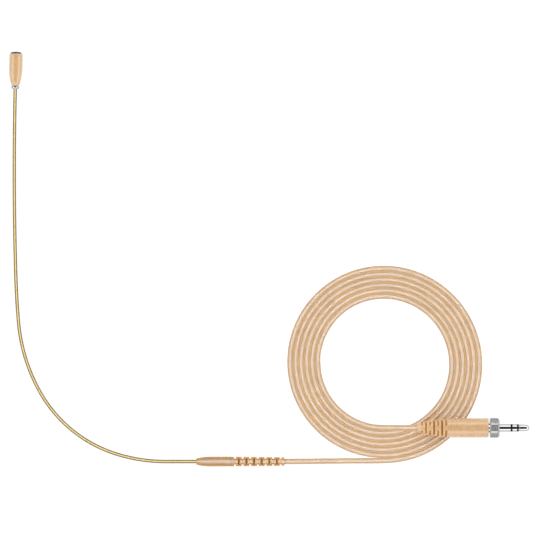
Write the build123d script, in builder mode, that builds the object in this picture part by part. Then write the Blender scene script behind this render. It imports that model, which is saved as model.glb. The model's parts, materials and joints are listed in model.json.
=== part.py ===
from build123d import *
from math import acos, cos, degrees, pi, radians, sin, tan
import os

# Headset microphone with one malleable boom, lying flat on a table.
# +Z is up from the table, the capsule points along +Y, and the plug points along +X.
# The origin is under the middle of the capsule, boom and junction, on the table.
# All sizes are in millimetres.

os.makedirs("parts", exist_ok=True)

# Driving dimensions
CABLE_RADIUS = 1.3
BOOM_RADIUS = 0.8
BOOM_BORE = 0.45
BOOM_WIRE_RADIUS = 0.4
CAPSULE_RADIUS = 3.15
JUNCTION_RADIUS = 2.28
JUNCTION_LENGTH = 41.4
SHELL_RADIUS = 4.5
PLUG_RADIUS = 1.75
CABLE_HOLE = CABLE_RADIUS + 0.05
BOOM_HOLE = BOOM_RADIUS + 0.03

# The junction lies along +X with its nose towards the boom.
JUNCTION_NOSE = Vector(23.3, -95.3, JUNCTION_RADIUS)
ALONG_X = Vector(1, 0, 0)
ALONG_Y = Vector(0, 1, 0)
UP = Vector(0, 0, 1)

# The boom leaves the junction straight for this far. Then it turns clockwise in arcs,
# each given as (length, turn in degrees). The last arc ends inside the capsule.
BOOM_STRAIGHT = 14.3
BOOM_ARCS = [(23.3, 17.2), (47.7, 43.6), (34.6, 24.3), (21.8, 3.2), (91.1, 3.2)]
BOOM_INTO_CAPSULE = 3.4

# The boom bends by hand. Four bends stand for that, at these lengths past the straight.
BENDS = [0.0, 46.0, 105.7, 186.0]
BEND_GAP = 0.88          # from a bend to the centre of each rounded boom end beside it


def boom_place(distance):
    """The point (x, y) of the boom's centre line, and its heading in degrees."""
    x, y, heading = 0.0, 0.0, 180.0
    for length, turn in BOOM_ARCS:
        step = min(distance, length)
        if step <= 0:
            break
        radius = length / radians(turn)
        after = heading - turn * step / length
        x += radius * (sin(radians(heading)) - sin(radians(after)))
        y += radius * (cos(radians(after)) - cos(radians(heading)))
        heading = after
        distance -= length
    return x, y, heading


BOOM_LENGTH = sum(length for length, turn in BOOM_ARCS)
COLLAR_AT = BOOM_LENGTH - BOOM_INTO_CAPSULE
CAPSULE_FRONT = 15.5     # from the boom's exit to the widest ring, which rests on the table

# The boom's plane rises a little, so that the junction and the wider capsule both rest on z = 0.
bend_1 = JUNCTION_NOSE - ALONG_X * BOOM_STRAIGHT
end_x, end_y, end_heading = boom_place(COLLAR_AT)
seat_x = end_x + CAPSULE_FRONT * cos(radians(end_heading))
seat_y = end_y + CAPSULE_FRONT * sin(radians(end_heading))
rise = (CAPSULE_RADIUS - JUNCTION_RADIUS) / (seat_x ** 2 + seat_y ** 2)
boom_plane = Plane(
    origin=bend_1,
    x_dir=(1, 0, rise * seat_x),
    z_dir=(-rise * seat_x, -rise * seat_y, 1),
)


def in_boom_plane(x, y):
    """The boom plane's point (x, y) in the part's own frame."""
    return boom_plane.from_local_coords(Vector(x, y, 0))


def heading_vector(heading):
    """The unit vector in the boom's plane that has this heading, in degrees."""
    return boom_plane.x_dir * cos(radians(heading)) + boom_plane.y_dir * sin(radians(heading))


def section(origin, radial, axial):
    """The plane on which a turned piece's outline is drawn, as (radius, height) points."""
    return Plane(origin=origin, x_dir=radial, z_dir=radial.cross(axial))


# Junction: an overmoulded boot that joins the boom to the cable.
# Its profile is drawn as (radius, height) with the height along +X from the nose.
junction_section = section(JUNCTION_NOSE, UP, ALONG_X)
junction_axis = Axis(JUNCTION_NOSE, ALONG_X)
JUNCTION_END_RADIUS = 2.05
NOSE_RADIUS = 1.4
NOSE_SWELL = (1.858, 2.0)    # a point that the nose's rounded side passes through
NOSE_LENGTH = 6.5
SMOOTH_LENGTH = 17.8
FERRULE_START = 5.6
FERRULE_END = 17.6
FERRULE_RADIUS = 1.6
FERRULE_ROOM = 0.04
SPLICE_START = 10.1
SPLICE_END = 12.6
SPLICE_BORE = 1.1
RIB_PITCH = 3.58
RIB_COUNT = 7
SLOT_WIDTH = 0.9
SLOT_DEPTH = 6.0         # of the boxes that cut the slots, which reach out past the boot
SLOT_BREADTH = 12.0
SLOT_CORE = 1.5          # radius of the round core that a slot goes down to
SIDE_SLOT_BRIDGE = 0.85  # half the width of the bridges that join two ribs across a slot
TOP_SLOT_BRIDGE = 1.0
FIRST_SLOT = 18.25


def slot_cutters(places, cores, outward, bridge):
    """Boxes that cut a pair of slots at each place, down to a round core, apart from two bridges."""
    across = (SLOT_BREADTH, SLOT_DEPTH) if outward == UP else (SLOT_DEPTH, SLOT_BREADTH)
    reach = outward * (bridge + SLOT_DEPTH / 2)
    with BuildPart() as cutters:
        for place, core in zip(places, cores):
            with Locations(place + reach, place - reach):
                Box(SLOT_WIDTH, *across)
            with Locations(Plane(origin=place, z_dir=ALONG_X)):
                Cylinder(core, SLOT_WIDTH, mode=Mode.SUBTRACT)
    return cutters.part


# The slots go in from the two sides, and between them from the top and the bottom.
side_slots = [JUNCTION_NOSE + ALONG_X * (FIRST_SLOT + RIB_PITCH * number) for number in range(RIB_COUNT)]
top_slots = [place + ALONG_X * RIB_PITCH / 2 for place in side_slots[:-1]]
slot_cores = [SLOT_CORE] * RIB_COUNT
with BuildPart() as junction_boot:
    with BuildSketch(junction_section):
        with BuildLine():
            Line((BOOM_HOLE, 0), (NOSE_RADIUS, 0))
            ThreePointArc((NOSE_RADIUS, 0), NOSE_SWELL, (JUNCTION_RADIUS, NOSE_LENGTH))
            Polyline(
                (JUNCTION_RADIUS, NOSE_LENGTH),
                (JUNCTION_RADIUS, SMOOTH_LENGTH),
                (JUNCTION_END_RADIUS, JUNCTION_LENGTH),
                (CABLE_HOLE, JUNCTION_LENGTH),
                (CABLE_HOLE, FERRULE_END),
                (FERRULE_RADIUS + FERRULE_ROOM, FERRULE_END),
                (FERRULE_RADIUS + FERRULE_ROOM, FERRULE_START),
                (BOOM_HOLE, FERRULE_START),
                (BOOM_HOLE, 0),
            )
        make_face()
    revolve(axis=junction_axis)
    add(slot_cutters(side_slots, slot_cores, ALONG_Y, SIDE_SLOT_BRIDGE), mode=Mode.SUBTRACT)
    add(slot_cutters(top_slots, slot_cores, UP, TOP_SLOT_BRIDGE), mode=Mode.SUBTRACT)
junction_boot.part.label = "junction_boot"
export_step(junction_boot.part, "parts/junction_boot.step")

# Crimped on the boom's end and on the cable's end, inside the boot.
with BuildPart() as junction_ferrule:
    with BuildSketch(junction_section):
        with BuildLine():
            Polyline(
                (BOOM_HOLE, FERRULE_START),
                (FERRULE_RADIUS, FERRULE_START),
                (FERRULE_RADIUS, FERRULE_END),
                (CABLE_HOLE, FERRULE_END),
                (CABLE_HOLE, SPLICE_END),
                (SPLICE_BORE, SPLICE_END),
                (SPLICE_BORE, SPLICE_START),
                (BOOM_HOLE, SPLICE_START),
                close=True,
            )
        make_face()
    revolve(axis=junction_axis)
junction_ferrule.part.label = "junction_ferrule"
export_step(junction_ferrule.part, "parts/junction_ferrule.step")

# The two soldered joints between the boom's wires and the cable's cores.
SPLICE_RADIUS = 0.35
SPLICE_OFFSET = 0.45
SPLICE_LENGTH = 2.0
SPLICE_ROUNDING = 0.15
splice_rear = (SPLICE_START + SPLICE_END - SPLICE_LENGTH) / 2
splice_plane = Plane(origin=JUNCTION_NOSE + ALONG_X * splice_rear, x_dir=UP, z_dir=ALONG_X)
with BuildPart(splice_plane) as wire_splices:
    with Locations((SPLICE_OFFSET, 0), (-SPLICE_OFFSET, 0)):
        Cylinder(SPLICE_RADIUS, SPLICE_LENGTH, align=(Align.CENTER, Align.CENTER, Align.MIN))
    fillet(wire_splices.edges().filter_by(GeomType.CIRCLE), SPLICE_ROUNDING)
wire_splices.part.label = "wire_splices"
export_step(wire_splices.part, "parts/wire_splices.step")

# Boom: a thin tube with an insulated pair of wires in it.
# Each stretch ends in half a ball beside a bend, so that the two stretches can turn there.
INSIDE_JUNCTION = 9.4
boom_1_length = BOOM_STRAIGHT + INSIDE_JUNCTION - BEND_GAP
boom_1_plane = Plane(origin=JUNCTION_NOSE + ALONG_X * INSIDE_JUNCTION, x_dir=UP, z_dir=-ALONG_X)
with BuildPart(boom_1_plane) as boom_tube_1:
    Cylinder(BOOM_RADIUS, boom_1_length, align=(Align.CENTER, Align.CENTER, Align.MIN))
    with Locations((0, 0, boom_1_length)):
        Sphere(BOOM_RADIUS, arc_size1=0, align=(Align.CENTER, Align.CENTER, Align.MIN))
    Cylinder(BOOM_BORE, boom_1_length + BOOM_RADIUS,
             align=(Align.CENTER, Align.CENTER, Align.MIN), mode=Mode.SUBTRACT)
boom_tube_1.part.label = "boom_tube_1"
export_step(boom_tube_1.part, "parts/boom_tube_1.step")

with BuildPart(boom_1_plane) as boom_wires_1:
    Cylinder(BOOM_WIRE_RADIUS, boom_1_length, align=(Align.CENTER, Align.CENTER, Align.MIN))
boom_wires_1.part.label = "boom_wires_1"
export_step(boom_wires_1.part, "parts/boom_wires_1.step")


def arc_points(start, end):
    """The boom's arcs between two distances, each as three points (x, y)."""
    arcs = []
    before = 0.0
    for length, turn in BOOM_ARCS:
        first = max(start, before)
        last = min(end, before + length)
        if last > first:
            arcs.append([boom_place(d)[:2] for d in (first, (first + last) / 2, last)])
        before += length
    return arcs


for number in range(len(BENDS)):
    last_stretch = number == len(BENDS) - 1
    start = BENDS[number] + BEND_GAP
    end = BOOM_LENGTH if last_stretch else BENDS[number + 1] - BEND_GAP
    start_x, start_y, start_heading = boom_place(start)
    stop_x, stop_y, stop_heading = boom_place(end)
    start_point = in_boom_plane(start_x, start_y)
    stop_point = in_boom_plane(stop_x, stop_y)
    start_plane = Plane(origin=start_point, x_dir=boom_plane.z_dir, z_dir=heading_vector(start_heading))
    stop_plane = Plane(origin=stop_point, x_dir=boom_plane.z_dir, z_dir=heading_vector(stop_heading))
    with BuildPart() as boom_tube:
        with BuildLine(boom_plane) as centre_line:
            for arc in arc_points(start, end):
                ThreePointArc(*arc)
        with BuildSketch(start_plane):
            Circle(BOOM_RADIUS)
            Circle(BOOM_BORE, mode=Mode.SUBTRACT)
        sweep(path=centre_line.wire())
        rounded_ends = [Plane(origin=start_point, x_dir=boom_plane.z_dir, z_dir=-start_plane.z_dir)]
        if not last_stretch:
            rounded_ends.append(stop_plane)
        for rounded_end in rounded_ends:
            with Locations(rounded_end):
                Sphere(BOOM_RADIUS, arc_size1=0, align=(Align.CENTER, Align.CENTER, Align.MIN))
                Cylinder(BOOM_BORE, BOOM_RADIUS, align=(Align.CENTER, Align.CENTER, Align.MIN),
                         mode=Mode.SUBTRACT)
    tube_name = f"boom_tube_{number + 2}"
    boom_tube.part.label = tube_name
    export_step(boom_tube.part, f"parts/{tube_name}.step")

    with BuildPart() as boom_wires:
        with BuildLine(boom_plane) as centre_line:
            for arc in arc_points(start, end):
                ThreePointArc(*arc)
        with BuildSketch(start_plane):
            Circle(BOOM_WIRE_RADIUS)
        sweep(path=centre_line.wire())
    wires_name = f"boom_wires_{number + 2}"
    boom_wires.part.label = wires_name
    export_step(boom_wires.part, f"parts/{wires_name}.step")

# Capsule: drawn as (radius, height) with the height along the boom's end from the collar's rear face.
capsule_base = in_boom_plane(end_x, end_y)
capsule_direction = heading_vector(end_heading)
capsule_section = section(capsule_base, boom_plane.z_dir, capsule_direction)
capsule_axis = Axis(capsule_base, capsule_direction)
capsule_plane = Plane(origin=capsule_base, x_dir=boom_plane.z_dir, z_dir=capsule_direction)
COLLAR_LENGTH = 1.35
COLLAR_RADIUS = 1.92
COLLAR_CHAMFER = 0.15
COLLAR_STEM_RADIUS = 1.25
COLLAR_STEM_END = 4.0
SEAM_HEIGHT = 8.5
RIM_HEIGHT = 16.7
RIM_ROUND = 0.6
SEAM_RADIUS = 3.08
TAIL_END_RADIUS = 1.4
TAIL_BORE = 1.28
TAIL_BORE_END = 4.1
# The tail's side is two arcs: out to the shoulder, and from there to the seam.
TAIL_SWELL = (2.03, 2.5)
TAIL_SHOULDER = (2.5, 4.0)
SHOULDER_SWELL = (2.87, 6.0)
SPIGOT_RADIUS = 2.6
SPIGOT_BORE = 2.15
SPIGOT_BORE_REAR = 6.2
SPIGOT_LENGTH = 1.3
FULL_WIDTH_HEIGHT = 10.0
SHELL_BORE = 2.65
LIP_BORE = 2.52
LIP_HEIGHT = 16.15

with BuildPart() as capsule_collar:
    with BuildSketch(capsule_section):
        with BuildLine():
            Polyline(
                (BOOM_HOLE, 0),
                (COLLAR_RADIUS - COLLAR_CHAMFER, 0),
                (COLLAR_RADIUS, COLLAR_CHAMFER),
                (COLLAR_RADIUS, COLLAR_LENGTH - COLLAR_CHAMFER),
                (COLLAR_RADIUS - COLLAR_CHAMFER, COLLAR_LENGTH),
                (COLLAR_STEM_RADIUS, COLLAR_LENGTH),
                (COLLAR_STEM_RADIUS, COLLAR_STEM_END),
                (BOOM_HOLE, COLLAR_STEM_END),
                close=True,
            )
        make_face()
    revolve(axis=capsule_axis)
capsule_collar.part.label = "capsule_collar"
export_step(capsule_collar.part, "parts/capsule_collar.step")

with BuildPart() as capsule_tail:
    with BuildSketch(capsule_section):
        with BuildLine():
            Line((TAIL_BORE, COLLAR_LENGTH), (TAIL_END_RADIUS, COLLAR_LENGTH))
            ThreePointArc((TAIL_END_RADIUS, COLLAR_LENGTH), TAIL_SWELL, TAIL_SHOULDER)
            ThreePointArc(TAIL_SHOULDER, SHOULDER_SWELL, (SEAM_RADIUS, SEAM_HEIGHT))
            Polyline(
                (SEAM_RADIUS, SEAM_HEIGHT),
                (SPIGOT_RADIUS, SEAM_HEIGHT),
                (SPIGOT_RADIUS, SEAM_HEIGHT + SPIGOT_LENGTH),
                (SPIGOT_BORE, SEAM_HEIGHT + SPIGOT_LENGTH),
                (SPIGOT_BORE, SPIGOT_BORE_REAR),
                (TAIL_BORE, TAIL_BORE_END),
                (TAIL_BORE, COLLAR_LENGTH),
            )
        make_face()
    revolve(axis=capsule_axis)
capsule_tail.part.label = "capsule_tail"
export_step(capsule_tail.part, "parts/capsule_tail.step")

with BuildPart() as capsule_shell:
    with BuildSketch(capsule_section):
        with BuildLine():
            Polyline(
                (SHELL_BORE, SEAM_HEIGHT),
                (SEAM_RADIUS, SEAM_HEIGHT),
                (CAPSULE_RADIUS, FULL_WIDTH_HEIGHT),
                (CAPSULE_RADIUS, RIM_HEIGHT - RIM_ROUND),
            )
            CenterArc((CAPSULE_RADIUS - RIM_ROUND, RIM_HEIGHT - RIM_ROUND), RIM_ROUND, 0, 90)
            Polyline(
                (CAPSULE_RADIUS - RIM_ROUND, RIM_HEIGHT),
                (LIP_BORE, RIM_HEIGHT),
                (LIP_BORE, LIP_HEIGHT),
                (SHELL_BORE, LIP_HEIGHT),
                (SHELL_BORE, SEAM_HEIGHT),
            )
        make_face()
    revolve(axis=capsule_axis)
capsule_shell.part.label = "capsule_shell"
export_step(capsule_shell.part, "parts/capsule_shell.step")

# A domed mesh cap that closes the front of the capsule.
GRILLE_RADIUS = 2.5
GRILLE_TOP = 17.6
GRILLE_CROWN = 0.4       # height of the dome above its straight skirt
GRILLE_WALL = 0.15
dome_radius = (GRILLE_RADIUS ** 2 + GRILLE_CROWN ** 2) / (2 * GRILLE_CROWN)
dome_centre = GRILLE_TOP - dome_radius
inner_dome = dome_radius - GRILLE_WALL
inner_skirt = GRILLE_RADIUS - GRILLE_WALL
outer_angle = degrees(acos(GRILLE_RADIUS / dome_radius))
inner_angle = degrees(acos(inner_skirt / inner_dome))
with BuildPart() as front_grille:
    with BuildSketch(capsule_section):
        with BuildLine():
            Line((0, GRILLE_TOP - GRILLE_WALL), (0, GRILLE_TOP))
            CenterArc((0, dome_centre), dome_radius, outer_angle, 90 - outer_angle)
            Polyline(
                (GRILLE_RADIUS, GRILLE_TOP - GRILLE_CROWN),
                (GRILLE_RADIUS, LIP_HEIGHT),
                (inner_skirt, LIP_HEIGHT),
                (inner_skirt, dome_centre + inner_dome * sin(radians(inner_angle))),
            )
            CenterArc((0, dome_centre), inner_dome, inner_angle, 90 - inner_angle)
        make_face()
    revolve(axis=capsule_axis)
front_grille.part.label = "front_grille"
export_step(front_grille.part, "parts/front_grille.step")

FELT_HEIGHT = 15.65
FELT_RADIUS = 2.5
with BuildPart(capsule_plane) as grille_felt:
    with Locations((0, 0, FELT_HEIGHT)):
        Cylinder(FELT_RADIUS, LIP_HEIGHT - FELT_HEIGHT, align=(Align.CENTER, Align.CENTER, Align.MIN))
grille_felt.part.label = "grille_felt"
export_step(grille_felt.part, "parts/grille_felt.step")

# The cartridge: a small can with an electret diaphragm, in a rubber sleeve.
CAN_RADIUS = 2.25
CAN_BORE = 2.05
CAN_REAR = 13.05
CAN_FRONT = 15.55
CAN_WALL = 0.2
CAN_PORT = 0.6
CAN_REAR_HOLE = 1.7
CAN_REAR_WALL = 0.12
with BuildPart() as cartridge_can:
    with BuildSketch(capsule_section):
        with BuildLine():
            Polyline(
                (CAN_PORT, CAN_FRONT - CAN_WALL),
                (CAN_PORT, CAN_FRONT),
                (CAN_RADIUS, CAN_FRONT),
                (CAN_RADIUS, CAN_REAR),
                (CAN_REAR_HOLE, CAN_REAR),
                (CAN_REAR_HOLE, CAN_REAR + CAN_REAR_WALL),
                (CAN_BORE, CAN_REAR + CAN_REAR_WALL),
                (CAN_BORE, CAN_FRONT - CAN_WALL),
                close=True,
            )
        make_face()
    revolve(axis=capsule_axis)
cartridge_can.part.label = "cartridge_can"
export_step(cartridge_can.part, "parts/cartridge_can.step")

RUBBER_REAR = 12.75
RUBBER_LENGTH = 2.8
RUBBER_RADIUS = SHELL_BORE - 0.03
RUBBER_BORE = CAN_RADIUS + 0.02
with BuildPart(capsule_plane) as cartridge_sleeve:
    with Locations((0, 0, RUBBER_REAR)):
        Cylinder(RUBBER_RADIUS, RUBBER_LENGTH, align=(Align.CENTER, Align.CENTER, Align.MIN))
        Cylinder(RUBBER_BORE, RUBBER_LENGTH, align=(Align.CENTER, Align.CENTER, Align.MIN),
                 mode=Mode.SUBTRACT)
cartridge_sleeve.part.label = "cartridge_sleeve"
export_step(cartridge_sleeve.part, "parts/cartridge_sleeve.step")

# What fills the can: a diaphragm on its rim, a spacer, a backplate in a holder, and a board.
FILLING_RADIUS = 2.0
DIAPHRAGM_HEIGHT = 14.95
DIAPHRAGM_RIM = 0.38
DIAPHRAGM_THICKNESS = 0.08
DIAPHRAGM_OPEN_RADIUS = 1.6
with BuildPart(capsule_plane) as diaphragm:
    with Locations((0, 0, DIAPHRAGM_HEIGHT)):
        Cylinder(FILLING_RADIUS, DIAPHRAGM_RIM, align=(Align.CENTER, Align.CENTER, Align.MIN))
    with Locations((0, 0, DIAPHRAGM_HEIGHT + DIAPHRAGM_THICKNESS)):
        Cylinder(DIAPHRAGM_OPEN_RADIUS, DIAPHRAGM_RIM, align=(Align.CENTER, Align.CENTER, Align.MIN),
                 mode=Mode.SUBTRACT)
diaphragm.part.label = "diaphragm"
export_step(diaphragm.part, "parts/diaphragm.step")

SPACER_THICKNESS = 0.1
SPACER_BORE = 1.72
with BuildPart(capsule_plane) as spacer_ring:
    with Locations((0, 0, DIAPHRAGM_HEIGHT - SPACER_THICKNESS)):
        Cylinder(FILLING_RADIUS, SPACER_THICKNESS, align=(Align.CENTER, Align.CENTER, Align.MIN))
        Cylinder(SPACER_BORE, SPACER_THICKNESS, align=(Align.CENTER, Align.CENTER, Align.MIN),
                 mode=Mode.SUBTRACT)
spacer_ring.part.label = "spacer_ring"
export_step(spacer_ring.part, "parts/spacer_ring.step")

BACKPLATE_HEIGHT = 14.45
BACKPLATE_THICKNESS = 0.35
BACKPLATE_RADIUS = 1.68
BACKPLATE_HOLE = 0.2
BACKPLATE_HOLE_AT = 0.95
BACKPLATE_HOLES = 4
with BuildPart(capsule_plane) as backplate:
    with Locations((0, 0, BACKPLATE_HEIGHT)):
        Cylinder(BACKPLATE_RADIUS, BACKPLATE_THICKNESS, align=(Align.CENTER, Align.CENTER, Align.MIN))
    with Locations((0, 0, BACKPLATE_HEIGHT)):
        with PolarLocations(BACKPLATE_HOLE_AT, BACKPLATE_HOLES):
            Cylinder(BACKPLATE_HOLE, 3 * BACKPLATE_THICKNESS, mode=Mode.SUBTRACT)
backplate.part.label = "backplate"
export_step(backplate.part, "parts/backplate.step")

BOARD_REAR = CAN_REAR + CAN_REAR_WALL + 0.02
BOARD_THICKNESS = 0.38
HOLDER_BORE = 1.55
HOLDER_LEDGE_BORE = 1.35
HOLDER_LEDGE = 0.3
with BuildPart() as backplate_holder:
    with BuildSketch(capsule_section):
        with BuildLine():
            Polyline(
                (SPACER_BORE, DIAPHRAGM_HEIGHT - SPACER_THICKNESS),
                (FILLING_RADIUS, DIAPHRAGM_HEIGHT - SPACER_THICKNESS),
                (FILLING_RADIUS, BOARD_REAR + BOARD_THICKNESS),
                (HOLDER_BORE, BOARD_REAR + BOARD_THICKNESS),
                (HOLDER_BORE, BACKPLATE_HEIGHT - HOLDER_LEDGE),
                (HOLDER_LEDGE_BORE, BACKPLATE_HEIGHT - HOLDER_LEDGE),
                (HOLDER_LEDGE_BORE, BACKPLATE_HEIGHT),
                (SPACER_BORE, BACKPLATE_HEIGHT),
                close=True,
            )
        make_face()
    revolve(axis=capsule_axis)
backplate_holder.part.label = "backplate_holder"
export_step(backplate_holder.part, "parts/backplate_holder.step")

with BuildPart(capsule_plane) as cartridge_board:
    with Locations((0, 0, BOARD_REAR)):
        Cylinder(FILLING_RADIUS, BOARD_THICKNESS, align=(Align.CENTER, Align.CENTER, Align.MIN))
cartridge_board.part.label = "cartridge_board"
export_step(cartridge_board.part, "parts/cartridge_board.step")

CHIP_SIZE = (0.7, 1.0, 0.4)
CHIP_CHAMFER = 0.08
with BuildPart(capsule_plane) as cartridge_chip:
    with Locations((0, 0, BOARD_REAR + BOARD_THICKNESS)):
        Box(*CHIP_SIZE, align=(Align.CENTER, Align.CENTER, Align.MIN))
    chamfer(cartridge_chip.faces().sort_by(capsule_axis)[-1].edges(), CHIP_CHAMFER)
cartridge_chip.part.label = "cartridge_chip"
export_step(cartridge_chip.part, "parts/cartridge_chip.step")

WIRE_RADIUS = 0.18
WIRE_OFFSET = 0.22
WIRES_REAR = BOOM_INTO_CAPSULE + 0.05
with BuildPart(capsule_plane) as capsule_wires:
    with Locations((WIRE_OFFSET, 0, WIRES_REAR), (-WIRE_OFFSET, 0, WIRES_REAR)):
        Cylinder(WIRE_RADIUS, BOARD_REAR - WIRES_REAR, align=(Align.CENTER, Align.CENTER, Align.MIN))
capsule_wires.part.label = "capsule_wires"
export_step(capsule_wires.part, "parts/capsule_wires.step")

# Cable coil: a flat spiral of six turns that winds inwards, seen from above, anticlockwise.
# Each half turn on the right is centred on COIL_CENTRE, and each on the left half a pitch above it.
TURNS = 6
PITCH = 2 * CABLE_RADIUS
COIL_CENTRE = (111.3, -49.75)
FIRST_TURN_RADIUS = 45.2
coil_x, coil_y = COIL_CENTRE
left_y = coil_y + PITCH / 2
right_outer = FIRST_TURN_RADIUS + CABLE_RADIUS
left_outer = FIRST_TURN_RADIUS
right_inner = FIRST_TURN_RADIUS - (TURNS - 1) * PITCH - CABLE_RADIUS
left_inner = left_outer - TURNS * PITCH
# The last quarter turn already climbs to the connector, so the solid leaves it out.
quarter_inner = left_inner + PITCH
CORNER = cos(radians(45))

with BuildPart() as cable_coil:
    with BuildSketch():
        with BuildLine():
            ThreePointArc(
                (coil_x, coil_y - right_outer), (coil_x + right_outer, coil_y), (coil_x, coil_y + right_outer)
            )
            ThreePointArc(
                (coil_x, left_y + left_outer), (coil_x - left_outer, left_y), (coil_x, left_y - left_outer)
            )
            Line((coil_x, left_y - left_outer), (coil_x, coil_y - right_outer))
        make_face()
        with BuildLine():
            ThreePointArc(
                (coil_x, coil_y - right_inner), (coil_x + right_inner, coil_y), (coil_x, coil_y + right_inner)
            )
            ThreePointArc(
                (coil_x, left_y + left_inner),
                (coil_x - left_inner * CORNER, left_y + left_inner * CORNER),
                (coil_x - left_inner, left_y),
            )
            Line((coil_x - left_inner, left_y), (coil_x - quarter_inner, left_y))
            ThreePointArc(
                (coil_x - quarter_inner, left_y),
                (coil_x - quarter_inner * CORNER, left_y - quarter_inner * CORNER),
                (coil_x, left_y - quarter_inner),
            )
        make_face(mode=Mode.SUBTRACT)
    extrude(amount=2 * CABLE_RADIUS)
cable_coil.part.label = "cable_coil"
export_step(cable_coil.part, "parts/cable_coil.step")

# The connector lies on the coil, with its plug along +X.
CONNECTOR_BASE = Vector(127.1, -79.35, 2 * CABLE_RADIUS + SHELL_RADIUS)
connector_section = section(CONNECTOR_BASE, UP, ALONG_X)
connector_axis = Axis(CONNECTOR_BASE, ALONG_X)
connector_plane = Plane(origin=CONNECTOR_BASE, x_dir=UP, z_dir=ALONG_X)

# Cable routes, chosen by hand. The lead runs from the junction down to the coil.
LEAD_ROUTE = [
    (36.6, -95.3, JUNCTION_RADIUS),
    (68.5, -95.3, JUNCTION_RADIUS),
    (96.2, -94.95, CABLE_RADIUS),
    (111.3, -94.95, CABLE_RADIUS),
]
# The tail is the coil's last quarter turn, which climbs at these corners, and then goes on
# straight into the connector.
TAIL_ROOM = 0.12
TAIL_TURN_RADIUS = left_inner + CABLE_RADIUS - TAIL_ROOM
TAIL_HEIGHTS = [1.35, 1.6, 2.1, 2.8, 3.6, 4.5, 5.3, 6.0]
TAIL_STEP = 90 / len(TAIL_HEIGHTS)
TAIL_ROUTE = [(coil_x - TAIL_TURN_RADIUS, left_y, CABLE_RADIUS)]
for number, height in enumerate(TAIL_HEIGHTS):
    corner_angle = radians(180 + TAIL_STEP * (number + 0.5))
    corner_distance = TAIL_TURN_RADIUS / cos(radians(TAIL_STEP / 2))
    TAIL_ROUTE.append((
        coil_x + corner_distance * cos(corner_angle),
        left_y + corner_distance * sin(corner_angle),
        height,
    ))
TAIL_ROUTE += [
    (123.6, CONNECTOR_BASE.Y, CONNECTOR_BASE.Z),
    (142.0, CONNECTOR_BASE.Y, CONNECTOR_BASE.Z),
]
CORNER_SHARE = 0.45      # how much of a straight run each rounded corner may take

for tube_name, route in (("cable_lead", LEAD_ROUTE), ("cable_tail", TAIL_ROUTE)):
    points = [Vector(*place) for place in route]
    runs = [b - a for a, b in zip(points, points[1:])]
    corner_radii = []
    for before, after in zip(runs, runs[1:]):
        half_turn = radians(before.get_angle(after)) / 2
        corner_radii.append(CORNER_SHARE * min(before.length, after.length) / tan(half_turn))
    with BuildPart() as cable_tube:
        with BuildLine() as route_line:
            FilletPolyline(*points, radius=corner_radii)
        with BuildSketch(Plane(origin=points[0], z_dir=runs[0])):
            Circle(CABLE_RADIUS)
        sweep(path=route_line.wire())
    cable_tube.part.label = tube_name
    export_step(cable_tube.part, f"parts/{tube_name}.step")
    expected = pi * CABLE_RADIUS ** 2 * route_line.wire().length
    print(tube_name, "radii", [round(radius, 1) for radius in corner_radii],
          "volume / expected", round(cable_tube.part.volume / expected, 4))

# Connector boot, with slots that let it bend.
BOOT_LENGTH = 14.1
BOOT_NOSE_RADIUS = 1.5
BOOT_NOSE_SWELL = (2.9, 3.1)
BOOT_SHOULDER = (3.75, 7.9)
BOOT_END_RADIUS = 4.42
BOOT_SPIGOT = 3.5
BOOT_FLANGE = 3.7
BOOT_FLANGE_FRONT = BOOT_LENGTH + 2.4
REAR_WALL = 1.2
REAR_WALL_ROOM = 0.05
CRIMP_START = 11.5
CRIMP_END = 15.5
CRIMP_RADIUS = 1.8
CRIMP_ROOM = 0.03
CRIMP_CHAMFER = 0.15
BOOT_SLOT_PITCH = 3.76
BOOT_SLOT_BRIDGE = 1.2
BOOT_TOP_CORES = [2.1, 2.1, 2.1]
BOOT_FIRST_TOP_SLOT = 4.1
BOOT_SIDE_CORES = [1.7, 2.6, 3.0, 3.3]
BOOT_FIRST_SIDE_SLOT = 2.22
boot_top_slots = [CONNECTOR_BASE + ALONG_X * (BOOT_FIRST_TOP_SLOT + BOOT_SLOT_PITCH * number)
                  for number in range(len(BOOT_TOP_CORES))]
boot_side_slots = [CONNECTOR_BASE + ALONG_X * (BOOT_FIRST_SIDE_SLOT + BOOT_SLOT_PITCH * number)
                   for number in range(len(BOOT_SIDE_CORES))]
with BuildPart() as connector_boot:
    with BuildSketch(connector_section):
        with BuildLine():
            Line((CABLE_HOLE, 0), (BOOT_NOSE_RADIUS, 0))
            ThreePointArc((BOOT_NOSE_RADIUS, 0), BOOT_NOSE_SWELL, BOOT_SHOULDER)
            Polyline(
                BOOT_SHOULDER,
                (BOOT_END_RADIUS, BOOT_LENGTH),
                (BOOT_SPIGOT, BOOT_LENGTH),
                (BOOT_SPIGOT, BOOT_LENGTH + REAR_WALL + REAR_WALL_ROOM),
                (BOOT_FLANGE, BOOT_LENGTH + REAR_WALL + REAR_WALL_ROOM),
                (BOOT_FLANGE, BOOT_FLANGE_FRONT),
                (CRIMP_RADIUS + CRIMP_ROOM, BOOT_FLANGE_FRONT),
                (CRIMP_RADIUS + CRIMP_ROOM, CRIMP_START),
                (CABLE_HOLE, CRIMP_START),
                (CABLE_HOLE, 0),
            )
        make_face()
    revolve(axis=connector_axis)
    add(slot_cutters(boot_top_slots, BOOT_TOP_CORES, UP, BOOT_SLOT_BRIDGE), mode=Mode.SUBTRACT)
    add(slot_cutters(boot_side_slots, BOOT_SIDE_CORES, ALONG_Y, BOOT_SLOT_BRIDGE), mode=Mode.SUBTRACT)
connector_boot.part.label = "connector_boot"
export_step(connector_boot.part, "parts/connector_boot.step")

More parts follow.
